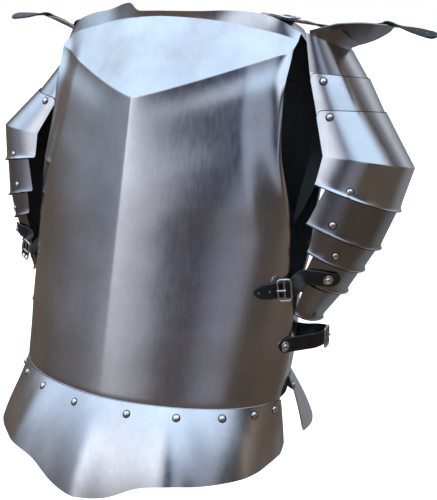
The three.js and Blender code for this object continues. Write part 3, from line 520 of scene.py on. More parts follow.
def grid_faces(rows, cols, flip=False):
    i, j = np.meshgrid(np.arange(rows - 1), np.arange(cols - 1), indexing="ij")
    a = (i * cols + j).ravel()
    faces = np.stack([a, a + 1, a + cols + 1, a + cols], -1)
    return faces[:, ::-1] if flip else faces


def applied(piece):
    """The piece with its modifiers baked into one plain mesh."""
    graph = bpy.context.evaluated_depsgraph_get()
    mesh = bpy.data.meshes.new_from_object(piece.evaluated_get(graph))
    old = piece.data
    piece.modifiers.clear()
    piece.data = mesh
    mesh.name = piece.name
    bpy.data.meshes.remove(old)
    return piece


def smooth(piece, angle=38):
    piece.data.shade_smooth()
    piece.data.set_sharp_from_angle(angle=math.radians(angle))
    return piece


def reworked(piece, change):
    """Opens the piece's mesh for one change."""
    work = bmesh.new()
    work.from_mesh(piece.data)
    change(work)
    work.to_mesh(piece.data)
    work.free()
    return piece


def merged(piece):
    return reworked(piece, lambda work: bmesh.ops.remove_doubles(work, verts=work.verts, dist=MERGE_WITHIN))


def outward(piece):
    return reworked(piece, lambda work: bmesh.ops.recalc_face_normals(work, faces=work.faces))


# %% Sheet pieces
def sheet_piece(name, points, faces, body, nodes, outer=None, painted_shade_edges=False,
                face_slots=None):
    piece = merged(mesh_piece(name, points, faces, [outer or steel_satin, dark_inside_and_painted_shade], face_slots))
    wall = piece.modifiers.new("wall", "SOLIDIFY")
    wall.thickness, wall.offset = STEEL / 1000, -1
    # Black edges are painted shade: a dark line along each edge stands for the shade where the plates lap.
    wall.material_offset, wall.material_offset_rim = 1, int(painted_shade_edges)
    wall.use_even_offset = True
    applied(piece)
    smooth(piece)
    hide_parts(*nodes)
    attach(piece, body)
    return piece


def spread(*stretches):
    """Rows or columns: each stretch is (from, to, count), joined without repeats."""
    return np.unique(np.concatenate([np.linspace(a, b, n) for a, b, n in stretches]).round(6))


def rounded(values, at, half):
    """Leaves out the value at a crease and puts two close on each side, which makes a small round."""
    keep = values[np.abs(values - at) > half * 2.5]
    return np.sort(np.concatenate([keep, [at - 2 * half, at - half, at + half, at + 2 * half]]))


# %% [markdown]
# ## The breastplate
# Rows and columns crowd at the ridges and at the edges. The crease itself is left out and rows are put close
# on each side, which makes the small bright round that a hammered and filed ridge has. A Bevel modifier could
# round the ridge too, but it would also round the plate's other edges.

# %% Breastplate
RIDGE_ROUND, NECK_ROUND = 0.004, 0.02
half_columns = spread((0, 0.1, 6), (0.1, 0.7, 22), (0.7, 1, 22))
breast_columns = rounded(np.concatenate([-half_columns[::-1], half_columns[1:]]), 0.0, RIDGE_ROUND)
breast_rows = spread((-1, 0, 4), (0, 0.1, 6), (0.1, 1, 60), (1, 2, 24), (2, 3, 6))
breast_rows = rounded(rounded(breast_rows, 1.0, RIDGE_ROUND), 2.0, NECK_ROUND)
breast_grid = breast_point(breast_rows[:, None], breast_columns[None])
breast = sheet_piece("breastplate_steel", breast_grid.reshape(-1, 3),
                     grid_faces(len(breast_rows), len(breast_columns)), "cuirass", ["breastplate"])
print("breastplate faces", len(breast.data.polygons))

# %% Backplate
back_rows = spread((0, 13, 66), (13, 16, 22))
RIM_ROUND = 0.015
back_columns = rounded(spread((0, 1, 44), (1, 2, 6)), 1.0, RIM_ROUND)
back_sides = []
for side in (1, -1):
    points = back_point(back_rows[:, None], back_columns[None]) * np.array([side, 1, 1])
    back_sides.append((points.reshape(-1, 3), grid_faces(len(back_rows), len(back_columns), flip=side > 0)))
offset = len(back_sides[0][0])
# The backplate's edges take the black finish too, as painted shade along them.
back = sheet_piece("backplate_steel", np.concatenate([p for p, _ in back_sides]),
                   np.concatenate([back_sides[0][1], back_sides[1][1] + offset]), "cuirass", ["backplate"],
                   painted_shade_edges=True)
print("backplate faces", len(back.data.polygons))

# %% [markdown]
# ## The skirts
# The front skirt is one flared band with a shallow lobe at the middle of its lower edge, riveted round the
# waist. The back skirt is shorter. Each lies outside its plate, one clearance off, and its lower corners are
# rounded.

# %% Skirts
FRONT_DROP, FRONT_FLARE, BACK_DROP, BACK_FLARE, BACK_WAIST, SKIRT_BAND = 108, 56, 72, 45, 20, 9
# From the middle to the end of each skirt: shares of its flare and of its drop
FRONT_EDGE = [(1.00, 1.00), (0.90, 0.95), (0.87, 0.79), (0.96, 0.713), (0.86, 0.718), (0.80, 0.695),
              (0.70, 0.672), (0.50, 0.657), (0.29, 0.643), (0.16, 0.625), (0.09, 0.610)]
BACK_EDGE = [(1.00, 0.86), (1.00, 0.87), (0.96, 0.90), (0.86, 0.94), (0.66, 0.98), (0.40, 0.98)]
BACK_SKIRT_ROW, BACK_SKIRT_END, BACK_SKIRT_GAP = 0.98, 0.885, 0.3
SKIRT_SWEEP, SKIRT_CORNER_FROM, SKIRT_CORNER = 0.35, 0.96, 0.17


def sweep(f):
    """The flare runs out fast below the waist and then straightens."""
    return f + SKIRT_SWEEP * f * (1 - f)


def corner_rise(share):
    """Share of the drop that a skirt's rounded lower corner takes off near its end."""
    near = np.clip((share - SKIRT_CORNER_FROM) / 0.04, 0, 1)
    return SKIRT_CORNER * (1 - np.sqrt(1 - near ** 2))


def front_skirt_point(f, across):
    f, across = np.broadcast_arrays(np.asarray(f, float), np.asarray(across, float))
    flare, drop = np.moveaxis(along(FRONT_EDGE, np.abs(across)), -1, 0)
    drop = drop * (1 - corner_rise(np.abs(across)))
    waist = breast_point(0.0, across)
    grow = 1 + (NESTED + FRONT_FLARE * flare * sweep(f)) / np.hypot(waist[..., 0], waist[..., 1])
    return stack(waist[..., 0] * grow, waist[..., 1] * grow, -FRONT_DROP * drop * f)


def back_skirt_point(f, across):
    f, across = np.broadcast_arrays(np.asarray(f, float), np.asarray(across, float))
    t = np.abs(across)
    flare, drop = np.moveaxis(along(BACK_EDGE, t / BACK_SKIRT_END), -1, 0)
    drop = drop * (1 - corner_rise(t / BACK_SKIRT_END))
    waist = back_point(BACK_SKIRT_ROW, t)
    flared = NESTED + BACK_SKIRT_GAP + BACK_FLARE * flare * sweep(f)
    grow = 1 + flared / np.hypot(waist[..., 0], waist[..., 1])
    side = np.where(across < 0, -1.0, 1.0)
    return stack(waist[..., 0] * grow * side, waist[..., 1] * grow, BACK_WAIST - BACK_DROP * drop * f)


def skirt_columns(count):
    return spread((-1, -0.95, 12), (-0.95, 0.95, count), (0.95, 1, 12))


skirt_rows = spread((0, 1, 26))[::-1]
for name, point_of, columns in (("front_skirt", front_skirt_point, skirt_columns(115)),
                                ("back_skirt", back_skirt_point, (skirt_columns(85) * BACK_SKIRT_END)[::-1])):
    skirt = sheet_piece(f"{name}_steel", point_of(skirt_rows[:, None], columns[None]).reshape(-1, 3),
                        grid_faces(len(skirt_rows), len(columns)), "cuirass", [name], steel_skirt)
    print(name, "faces", len(skirt.data.polygons))

# %% [markdown]
# ## The shoulder guards
# Three upper plates and four narrow lames each side. The upper corners of the second and third plates are
# rounded, and a thin strip along that edge is painted black as the shade in the lap. From the third plate
# down, the lower edges are rolled outwards, which makes the bright lines, and the lames' front edges slant.

# %% Guard plates
# The fourth size is the width, in millimetres, of the strip of painted shade along the rounded upper edges.
LAP, LIP, LIP_LENGTH, CORNER, LAP_SHADE_WIDTH, LAME_SLANT = 0.26, 3.2, 6.2, 9, 0.9, 0.055
CORNER_WIDTH, CORNER_FADE, RING_ROUND = 0.05, 0.4, 0.012
# Name, first and last ring, layer, whether the lower edge is rolled and whether the upper corners are rounded
GUARD_PLATES = [
    ("guard_plate_1", 0, 1 + LAP, 0, False, False), ("guard_plate_2", 1, 2 + LAP, 1, False, True),
    ("guard_plate_3", 2, 4, 2, True, True), ("guard_lame_4", 4 - LAP, 5, 1, True, False),
    ("guard_lame_5", 5 - LAP, 6, 0, True, False), ("guard_lame_6", 6 - LAP, 7, -1, True, False),
    ("guard_lame_7", 7 - LAP, 8, -2, True, False)]
guard_columns = spread((0, 0.06, 7), (0.06, 0.94, 56), (0.94, 1, 7))


def ring_span(k):
    """Length of the front edge between ring k and the next."""
    return np.linalg.norm(ring_point(int(k), 0.0) - ring_point(int(k) + 1, 0.0))


def plate_grid(first, last, layer, lip, round_corners, slant):
    rows = spread((first, last, int(10 * (last - first)) + 4))
    if round_corners:
        rows = np.insert(rows, 1, first + LAP_SHADE_WIDTH / ring_span(first))
    for k in range(len(GUARD_RINGS)):
        if first + 0.1 < k < last - 0.1:
            rows = rounded(rows, k, RING_ROUND)
    corner = CORNER / ring_span(first) if round_corners else 0.0
    past_end = 1 - np.clip(np.minimum(guard_columns, 1 - guard_columns) / CORNER_WIDTH, 0, 1)
    drop = corner * (1 - np.sqrt(1 - past_end ** 2))
    fade = np.clip(1 - (rows - first) / CORNER_FADE, 0, 1)
    v = rows[:, None] + drop[None] * fade[:, None]
    lift = np.full(rows.shape, layer * NESTED)
    if lip:
        turn = np.linspace(0, math.pi / 2, 6)[1:]
        length = LIP_LENGTH / ring_span(last - 1)
        rows = rows[rows < last - length]
        rolled = last - length + length * np.sin(turn)
        v = np.concatenate([v[: len(rows)], rolled[:, None] + 0 * guard_columns])
        lift = np.concatenate([lift[: len(rows)], layer * NESTED + LIP * (1 - np.cos(turn))])
    cut = slant * np.clip((last - v) / (last - first), 0, 1)
    return guard_point(v, cut + (1 - cut) * guard_columns, lift[:, None])[::-1]


SIDES = {"left": plain, "right": hung_right}
for name, first, last, layer, lip, round_corners in GUARD_PLATES:
    is_lame = "lame" in name
    grid = plate_grid(first, last, layer, lip, round_corners, LAME_SLANT if is_lame else 0)
    # Painted shade: on the second and third plates, the strip along the rounded upper edge gets the black
    # finish for the shade in the lap.
    lap_shade_faces = np.zeros((grid.shape[0] - 1, grid.shape[1] - 1), int)
    lap_shade_faces[-1] = round_corners
    for side, placed in SIDES.items():
        bodies = {"guard_plate_1": "cuirass", "guard_plate_2": f"{side}_second_plate"}
        sheet_piece(f"{side}_{name}_steel", placed(grid.reshape(-1, 3)),
                    grid_faces(grid.shape[0], grid.shape[1], flip=side == "right"),
                    bodies.get(name, f"{side}_lower_guard"), [f"{side}_{name}"],
                    steel_lame if is_lame else steel_satin,
                    painted_shade_edges=name != "guard_plate_1", face_slots=lap_shade_faces.ravel())
print("guard plates", len(GUARD_PLATES) * 2)

# %% [markdown]
# ## The wings
# A leaf rises inside the top plate and turns outwards over it, and the shoulder strap lies on its upper side.
# Its foot is a strip of the guard's own surface one layer inwards, so that it follows the plate above it.

# %% Wings
WING_LENGTH, WING_DEPTH, WING_DISH, WING_TAPER = 86, 52, 0.06, 0.5
WING_ROOT = GUARD_TOP + np.array([4.0, 5.0, 4.0])
# Left, behind and rise as shares of the length, then a share of the depth, and the slope
WING_SECTIONS = [
    (0.00, 0.00, 0.0, 1.40, -0.38), (0.26, 0.08, 0.055, 1.32, -0.40), (0.60, 0.24, 0.075, 0.96, -0.42),
    (0.86, 0.38, 0.055, 0.50, -0.38), (1.00, 0.46, 0.035, 0.10, -0.30)]
# Place on the guard's rings and the rise above it, then the foot's stretch along the ring
WING_FOOT, FOOT_SPAN = [(0.34, 0), (0.17, 0), (0, 0), (0, 4), (0, 8)], (0.03, 0.72)


def wing_point(u, c):
    u, c = np.broadcast_arrays(np.asarray(u, float), np.asarray(c, float))
    left, behind, rise, deep, slope = np.moveaxis(along(WING_SECTIONS, u), -1, 0)
    back = WING_DEPTH * deep * c
    return stack(WING_ROOT[0] + WING_LENGTH * left, WING_ROOT[1] + WING_LENGTH * behind + back,
                 WING_ROOT[2] + WING_LENGTH * rise + slope * back - WING_DISH * back * (1 - c))


wing_columns = np.linspace(0, 1, 21)
lower = WING_TAPER * (1 - np.sqrt(np.clip(np.sin(math.pi * wing_columns), 0, 1)))
foot = [guard_point(v, blend_between(*FOOT_SPAN, wing_columns), -NESTED - CLEARANCE)
        + stack(0 * lower, 0 * lower, rise * (1 - lower)) for v, rise in WING_FOOT]
leaf = [wing_point(u, wing_columns) for u in np.linspace(0.3, 1, 24)]
wing_grid = np.array(foot + leaf)
for side, placed in SIDES.items():
    sheet_piece(f"{side}_wing_steel", placed(wing_grid.reshape(-1, 3)),
                grid_faces(wing_grid.shape[0], wing_grid.shape[1], flip=side == "right"), "cuirass",
                [f"{side}_guard_wing"], steel_lame)
print("wing rows", len(wing_grid))

# %% [markdown]
# ## Black leather
# The straps are smooth black strap leather: slightly glossy, with a fine grain, rubbed grey edges and, in the
# straps with a tip, a row of punched holes. The strap's own UV map gives the place along and across it, in
# metres, so the holes and the rubbed edges follow the strap round its bends.


# %% Leather
STRAP_EDGE = STRAP_WIDTH / 2000
HOLE_SPACING, HOLE_INNER, HOLE_OUTER = 0.013, 0.0010, 0.0016


def leather_material(name, holes):
    material, tree, shader = new_material(name)
    where = node(tree, "ShaderNodeTexCoord")[3]
    uv = node(tree, "ShaderNodeUVMap", {"uv_map": "strap"})[0]
    length, across, _ = node(tree, "ShaderNodeSeparateXYZ", {}, {0: uv})[:3]
    grain = noise(tree, where, 900.0, 3.0, 0.6)
    creases = noise(tree, where, 120.0, 4.0, 0.6)
    rubbed = (across.abs() + (creases - 0.5) * 0.004).ramp(STRAP_EDGE - 0.0016, STRAP_EDGE)
    line = 1 - (across.abs() - (STRAP_EDGE - 0.0028)).abs().ramp(0.0002, 0.0007)
    colour = mixed(tree, creases.ramp(0.35, 0.75), (0.008, 0.0078, 0.009), (0.019, 0.018, 0.020))
    colour = mixed(tree, rubbed * 0.6, colour, (0.060, 0.055, 0.052))
    height = grain * 0.25 + creases * 0.6 - line * 0.9
    rough = 0.40 + creases * 0.18 + rubbed * 0.12
    if holes:
        step = node(tree, "ShaderNodeMath", {"operation": "PINGPONG"}, {0: length, 1: HOLE_SPACING / 2})[0]
        far = (step * step + across * across) ** 0.5
        hole = 1 - far.ramp(HOLE_INNER, HOLE_OUTER)
        colour = mixed(tree, hole, colour, (0.22, 0.20, 0.18))
        height = height - hole * 3.0
    bump = node(tree, "ShaderNodeBump", {}, {"Strength": 0.35, "Distance": 0.0004, "Height": height})[0]
    feed(tree, shader, Base_Color=colour, Roughness=rough.clamp(), Normal=bump)
    shader.inputs["Coat Weight"].default_value = 0.12
    return material


leather_plain = leather_material("leather_black", False)
leather_holed = leather_material("leather_black_holes", True)

# %% [markdown]
# ## Straps
# A strap is a flat band swept along a smooth path, with the way it faces carried along. Its long edges are
# rounded. It starts in a half round and ends square, or in a narrowed tip. A curve with a bevel could make it
# too, but it would twist at the bends.


# %% Strap helper
def smooth_path(places, normals, count):
    t = np.linspace(0, 1, count)
    path, facing = along(places, t), along(normals, t)
    ahead = np.gradient(path, axis=0)
    ahead /= np.linalg.norm(ahead, axis=1, keepdims=True)
    facing -= ahead * np.sum(facing * ahead, 1, keepdims=True)
    facing /= np.linalg.norm(facing, axis=1, keepdims=True)
    return path, facing, np.cross(facing, ahead)


def strap_widths(run, tip):
    """Half the strap's width at each place of its run, in millimetres."""
    full = STRAP_WIDTH / 2
    near_start = np.clip(1 - run / full, 0, 1)
    half = full * np.sqrt(1 - 0.95 * near_start ** 2)
    if tip:
        near_end = np.clip(1 - (run[-1] - run) / (STRAP_WIDTH * 0.95), 0, 1)
        half = np.minimum(full * np.sqrt(np.clip(1 - near_end ** 2 * 0.97, 0.02, 1)), half)
    return half


def ring_faces(rings, around, closed=False):
    """Quads between neighbouring rings of points."""
    faces = []
    for k in range(rings if closed else rings - 1):
        here, ahead = k * around, (k + 1) % rings * around
        faces += [[here + i, here + (i + 1) % around, ahead + (i + 1) % around, ahead + i]
                  for i in range(around)]
    return faces


def end_faces(rings, around):
    return [list(range(around))[::-1], [(rings - 1) * around + i for i in range(around)]]


EDGE_ROUND = LEATHER * 0.42
# Share of the half width, height and inset of each point round the strap's section
STRAP_SECTION = [
    (-1, EDGE_ROUND, 0), (-1, LEATHER - EDGE_ROUND, 0), (-1, LEATHER, EDGE_ROUND), (-0.5, LEATHER, 0),
    (0, LEATHER, 0), (0.5, LEATHER, 0), (1, LEATHER, -EDGE_ROUND), (1, LEATHER - EDGE_ROUND, 0),
    (1, EDGE_ROUND, 0), (1, 0, -EDGE_ROUND), (0, 0, 0), (-1, 0, EDGE_ROUND)]


def strap_piece(name, stations, body, nodes, tip=False, count=60, holes=False):
    places, normals = (np.array([station[k] for station in stations], float) for k in (0, 1))
    path, facing, side = smooth_path(places, normals, count)
    run = np.concatenate([[0], np.cumsum(np.linalg.norm(np.diff(path, axis=0), axis=1))])
    half = strap_widths(run, tip)
    points, uvs = [], []
    for k in range(count):
        for share, height, inset in STRAP_SECTION:
            aside = share * half[k] + inset * min(1, half[k] / (STRAP_WIDTH / 2))
            points.append(path[k] + side[k] * aside + facing[k] * height)
            uvs.append((run[k] / 1000, aside / 1000))
    faces = ring_faces(count, len(STRAP_SECTION)) + end_faces(count, len(STRAP_SECTION))
    piece = mesh_piece(name, points, faces, [leather_holed if holes else leather_plain])
    layer = piece.data.uv_layers.new(name="strap")
    for loop in piece.data.loops:
        layer.data[loop.index].uv = uvs[loop.vertex_index]
    outward(piece)
    smooth(piece, 40)
    for node_name in nodes:
        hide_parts(node_name)
    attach(piece, body)
    return piece


# %% [markdown]
# ## Where the straps lie
# Each strap is a list of stations: a place and the way the leather faces there. Most of them are lifted off
# the plate that the strap lies on, and only the free stretches between two plates have places of their own.

# %% Places on the plates
def lifted(point_normal, lift):
    point, normal = point_normal
    return point + normal * lift, normal


def breast_at(row, across):
    return surface_at(breast_point, row, across)


def back_at(row, t):
    return surface_at(back_point, row, t, -1)


def guard_at(v, t, lift):
    point = guard_point(v, t, lift)
    across = guard_point(v, min(t + 0.02, 1), lift) - guard_point(v, max(t - 0.02, 0), lift)
    up = guard_point(v - 0.1, t, lift) - guard_point(v + 0.1, t, lift)
    normal = np.cross(across, up)
    return point, normal / np.linalg.norm(normal)


def unit(x, y, z):
    return np.array([x, y, z], float) / math.sqrt(x * x + y * y + z * z)


# %% Side and arm straps
SIDE_SHARE, SIDE_BACK_ROW = 0.165, 2.7
# Left, behind and share of the climb from the breastplate to the backplate
SIDE_LOOP = [(207, 20, -0.15), (216, 34, -0.05), (219, 50, 0.50), (213, 66, 0.75)]
side_start = lifted(breast_at(SIDE_SHARE, 0.92), TOUCH)
side_ends = [lifted(back_at(SIDE_BACK_ROW, t), TOUCH + CLEARANCE) for t in (0.76, 0.66)]
side_strap = [side_start, lifted(breast_at(SIDE_SHARE, 0.985), TOUCH)]
for left, behind, climb in SIDE_LOOP:
    rise = blend_between(side_start[0][2], side_ends[0][0][2], climb)
    side_strap.append((np.array([left, behind, rise]), unit(1, (behind - 46) / 34, 0)))
side_strap += side_ends

ARM_BUCKLE = np.array([199.0, -9.0, 139.0])
# Ring, place along the ring and lift of each station on the lames
ARM_ON_LAME = [(6.46, 0.36, 0.9), (6.55, 0.24, 1.0), (6.68, 0.12, 1.2), (6.9, 0.015, 3.0)]
arm_strap = [guard_at(v, t, -NESTED + TOUCH + lift) for v, t, lift in ARM_ON_LAME]
arm_strap += [(ARM_BUCKLE + (5, 3, 1), unit(0.4, -0.91, 0)), (ARM_BUCKLE + (-5, -3, 0), unit(0.5, -0.87, 0))]

ARM_TIP_SHARE, ARM_TIP_LIFT = 0.335, 1.6
# Between lame and breastplate: left, behind, drop below the first place on the breastplate, and facing
ARM_TIP_RUN = [(202.8, 96, 6, unit(1, 0.3, 0)), (199.4, 70, 5, unit(1, 0, 0)), (199.2, 24, 0, unit(1, 0, 0))]


def arm_tip(shares):
    torso = [lifted(breast_at(ARM_TIP_SHARE, u), ARM_TIP_LIFT) for u in shares]
    rise = torso[0][0][2]
    start = guard_at(ARM_ON_LAME[1][0], 0.93, -NESTED - STEEL - LEATHER - 2 * TOUCH - CLEARANCE)
    free = [(np.array([left, behind, rise - drop]), facing) for left, behind, drop, facing in ARM_TIP_RUN]
    return [start] + free + torso


# %% Shoulder straps
WING_STRAP_SHARE, FREE_END = 0.45, np.array([56, -2, -13])
SHOULDER_RUN = [(126, 84, 449.6), (140, 84, 447.2), (156, 84, 444.5), (172, 84, 442.4)]
over_wing = [lifted(surface_at(wing_point, u, WING_STRAP_SHARE, -1), NESTED + TOUCH)
             for u in (0.34, 0.55, 0.8, 0.93)]
free_end = [(over_wing[-1][0] + FREE_END * f, unit(0.15, -0.4 * f, 0.95)) for f in (1, 0.5)]
inward = [(np.array(p, float), unit(0.17, 0, 0.98)) for p in SHOULDER_RUN]
guard_strap = free_end + over_wing[::-1] + inward[::-1]
base_strap = [lifted(back_at(15.5, t), TOUCH + 0.4) for t in (0.8, 0.6, 0.4, 0.2)]
under = -STEEL - TOUCH
joiner = [(p, -n) for p, n in (lifted(breast_at(1.7, 0.62), under), lifted(breast_at(1.9, 0.62), under),
                               lifted(back_at(15.9, 0.5), under), lifted(back_at(15.2, 0.5), under))]
print("stations", len(side_strap), len(arm_strap), len(guard_strap))


# %% Lay the straps on both sides
def placed_stations(stations, side, hung):
    """hung says, for each station, whether it goes with the hanging guard."""
    if side == "left":
        return stations
    return [(hung_right(p), turn_right(n)) if h else (mirrored(p), mirrored(n))
            for (p, n), h in zip(stations, hung)]


# Long enough for the strap with the most stations
hanging, still = [True] * 9, [False] * 9
for side in SIDES:
    lower = f"{side}_lower_guard"
    hangs = [p[0] > GUARD_TOP[0] for p, _ in guard_strap]
    strap_piece(f"{side}_shoulder_strap", placed_stations(guard_strap, side, hangs), "cuirass",
                [f"{side}_guard_strap"], tip=True, count=90, holes=True)
    strap_piece(f"{side}_arm_strap_leather", placed_stations(arm_strap, side, hanging), lower,
                [f"{side}_arm_strap"])
    tip_shares = (0.95, 0.88, 0.8, 0.72) if side == "left" else (0.95, 0.88, 0.82)
    strap_piece(f"{side}_arm_strap_end", placed_stations(arm_tip(tip_shares), side, hanging), lower,
                [f"{side}_arm_strap_tip"], tip=True, count=90, holes=True)
    for strap, node_name, stations, count in (("side_strap", "side_strap", side_strap, 80),
                                              ("base_strap", "shoulder_base_strap", base_strap, 24),
                                              ("joiner", "shoulder_joiner", joiner, 24)):
        strap_piece(f"{side}_{strap}_leather", placed_stations(stations, side, still), "cuirass",
                    [f"{side}_{node_name}"], count=count)

# %% [markdown]
# ## Buckles
# A buckle is bent from round wire: a rounded frame, a bar across its middle that the strap is folded over,
# and a tongue from the bar to the frame. Each is a round section swept along its own path. A curve with a
# round bevel could make them too, but this way a buckle is one plain mesh from the start.

# %% Buckles
WIRE_RADIUS, WIRE_SIDES = 1.2, 10
BUCKLE_HALF, BUCKLE_REACH, BUCKLE_CORNER = (STRAP_WIDTH + 3) / 2 + 3.0, 9.0, 4.0


def swept(path, radius, closed):
    path = np.asarray(path, float)
    ahead = (np.roll(path, -1, 0) - np.roll(path, 1, 0)) if closed else np.gradient(path, axis=0)
    ahead /= np.linalg.norm(ahead, axis=1, keepdims=True)
    upright = np.array([0.0, 0.0, 1.0])
    aside = np.cross(ahead, upright)
    aside /= np.linalg.norm(aside, axis=1, keepdims=True)
    rise = np.cross(aside, ahead)
    angle = np.linspace(0, 2 * math.pi, WIRE_SIDES, endpoint=False)
    section = aside[:, None] * np.cos(angle)[None, :, None] + rise[:, None] * np.sin(angle)[None, :, None]
    points = (path[:, None] + radius * section).reshape(-1, 3)
    faces = ring_faces(len(path), WIRE_SIDES, closed)
    return points, faces if closed else faces + end_faces(len(path), WIRE_SIDES)


def rounded_ring(reach, half, corner):
    path = []
    for cx, cy, start in ((reach, half, 0), (-reach, half, 90), (-reach, -half, 180), (reach, -half, 270)):
        sx, sy = math.copysign(corner, cx), math.copysign(corner, cy)
        for a in np.radians(np.linspace(start, start + 90, 6)):
            path.append((cx - sx + corner * math.cos(a), cy - sy + corner * math.sin(a), WIRE_RADIUS))
    return path


def buckle_piece(name, stations, index, share, body, node_name, lift, placed):
    """Sits at a share of the way between two stations of its strap."""
    (pa, na), (pb, nb) = stations[index], stations[index + 1]
    normal = na + (nb - na) * share
    normal /= np.linalg.norm(normal)
    point = pa + (pb - pa) * share + normal * lift
    ahead = pb - pa
    ahead = ahead - normal * np.dot(ahead, normal)
    ahead /= np.linalg.norm(ahead)
    aside = np.cross(normal, ahead)
    wire = WIRE_RADIUS
    frame_path = rounded_ring(BUCKLE_REACH - wire, BUCKLE_HALF - wire, BUCKLE_CORNER)
    bar = [(0, y, wire) for y in np.linspace(-BUCKLE_HALF + 2 * wire, BUCKLE_HALF - 2 * wire, 8)]
    tongue = [(x, 0, wire * 2 + 0.9 * math.cos(x / 9.0)) for x in np.linspace(-1.5, BUCKLE_REACH, 12)]
    parts = [swept(frame_path, wire, True), swept(bar, wire * 0.95, False), swept(tongue, wire * 0.85, False)]
    points, faces = [], []
    for part_points, part_faces in parts:
        faces += [[i + sum(map(len, points)) for i in face] for face in part_faces]
        points.append(part_points)
    local = np.concatenate(points)
    world = point + local[:, :1] * ahead + local[:, 1:2] * aside + local[:, 2:] * normal
    piece = mesh_piece(name, placed(world), faces, [steel_bright])
    outward(piece)
    smooth(piece, 60)
    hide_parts(node_name)
    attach(piece, body)
    return piece


for side, hung in SIDES.items():
    fixed = plain if side == "left" else mirrored
    buckle_piece(f"{side}_shoulder_buckle", guard_strap, len(guard_strap) - 3, 0.5, "cuirass",
                 f"{side}_guard_buckle", LEATHER + TOUCH, fixed)
    buckle_piece(f"{side}_arm_buckle_wire", arm_strap, len(arm_strap) - 2, 0.75, f"{side}_lower_guard",
                 f"{side}_arm_buckle", LEATHER + TOUCH / 2, hung)
    buckle_piece(f"{side}_side_buckle_wire", side_strap, 4, 0.1, "cuirass", f"{side}_side_buckle",
                 LEATHER + TOUCH, fixed)

# %% [markdown]
# ## Rivets
# The same domed head is wanted dozens of times, each facing its own way. A point mesh holds the places and
# the facing as an attribute, and one Geometry Nodes tree puts a flattened sphere on each point.


# %% Rivet tree
def rivet_tree():
    tree = bpy.data.node_groups.new("rivet_heads", "GeometryNodeTree")
    face = tree.interface
    face.new_socket("Geometry", in_out="INPUT", socket_type="NodeSocketGeometry")
    radius = face.new_socket("Radius", in_out="INPUT", socket_type="NodeSocketFloat")
    height = face.new_socket("Height", in_out="INPUT", socket_type="NodeSocketFloat")
    finish = face.new_socket("Finish", in_out="INPUT", socket_type="NodeSocketMaterial")
    face.new_socket("Geometry", in_out="OUTPUT", socket_type="NodeSocketGeometry")
    put = lambda kind: tree.nodes.new(kind)
    start, end = put("NodeGroupInput"), put("NodeGroupOutput")
    ball, squash = put("GeometryNodeMeshUVSphere"), put("GeometryNodeTransform")
    ball.inputs["Segments"].default_value, ball.inputs["Rings"].default_value = 20, 12
    size = put("ShaderNodeCombineXYZ")
    facing, turn = put("GeometryNodeInputNamedAttribute"), put("FunctionNodeAlignRotationToVector")
    facing.data_type = "FLOAT_VECTOR"
    facing.inputs["Name"].default_value = "facing"
    turn.axis = "Z"
    copies, real = put("GeometryNodeInstanceOnPoints"), put("GeometryNodeRealizeInstances")
    shade, painted = put("GeometryNodeSetShadeSmooth"), put("GeometryNodeSetMaterial")
    link = tree.links.new
    link(start.outputs["Radius"], ball.inputs["Radius"])
    for axis in "XY":
        size.inputs[axis].default_value = 1.0
    link(start.outputs["Height"], size.inputs["Z"])
    link(ball.outputs["Mesh"], squash.inputs["Geometry"])
    link(size.outputs[0], squash.inputs["Scale"])
    link(start.outputs["Geometry"], copies.inputs["Points"])
    link(squash.outputs["Geometry"], copies.inputs["Instance"])
    link(facing.outputs["Attribute"], turn.inputs["Vector"])
    link(turn.outputs["Rotation"], copies.inputs["Rotation"])
    link(copies.outputs["Instances"], real.inputs["Geometry"])
    link(real.outputs["Geometry"], shade.inputs["Geometry"])
    link(shade.outputs["Geometry"], painted.inputs["Geometry"])
    link(start.outputs["Finish"], painted.inputs["Material"])
    link(painted.outputs["Geometry"], end.inputs["Geometry"])
    return tree, radius.identifier, height.identifier, finish.identifier


RIVET_TREE, RADIUS_SOCKET, HEIGHT_SOCKET, FINISH_SOCKET = rivet_tree()
RIVET_HEIGHT = 0.62
# A flat dark disc, a little wider than each head, is painted shade round the rivet's foot
SHADE_RING_REACH, SHADE_RING_HEIGHT = 1.22, 0.06


def rivet_piece(name, places, facings, body, radius, height, finish):
    points = bpy.data.meshes.new(name)
    points.from_pydata([tuple(p) for p in to_frame(places)], [], [])
    facing = points.attributes.new("facing", "FLOAT_VECTOR", "POINT")
    facing.data.foreach_set("vector", np.asarray(facings, float).ravel())
    piece = bpy.data.objects.new(name, points)
    bpy.context.scene.collection.objects.link(piece)
    heads = piece.modifiers.new("heads", "NODES")
    heads.node_group = RIVET_TREE
    heads[RADIUS_SOCKET] = radius / 1000
    heads[HEIGHT_SOCKET] = height
    heads[FINISH_SOCKET] = finish
    applied(piece)
    merged(piece)
    piece.data.shade_smooth()
    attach(piece, body)
    return piece


def rivets_with_painted_shade(name, heads, body):
    places, facings = [p for p, _ in heads], [n for _, n in heads]
    rivet_piece(name, places, facings, body, RIVET_RADIUS, RIVET_HEIGHT, steel_bright)
    # The second, flat, dark disc is painted shade round each head.
    rivet_piece(f"{name}_painted_shade_ring", places, facings, body, RIVET_RADIUS * SHADE_RING_REACH, SHADE_RING_HEIGHT,
                dark_inside_and_painted_shade)


# %% Rivets on the skirts and guards
FRONT_RIVETS = [-0.93, -0.76, -0.56, -0.335, -0.112, 0.143, 0.356, 0.57, 0.765, 0.94]
BACK_RIVETS = [-0.85, -0.5, -0.17, 0.17, 0.5, 0.85]
front_places = [surface_at(front_skirt_point, SKIRT_BAND / (FRONT_DROP * 0.7), u, -1) for u in FRONT_RIVETS]
back_places = [surface_at(back_skirt_point, SKIRT_BAND / (BACK_DROP * 0.7), u, 1) for u in BACK_RIVETS]
rivets_with_painted_shade("skirt_rivets", front_places + back_places, "cuirass")
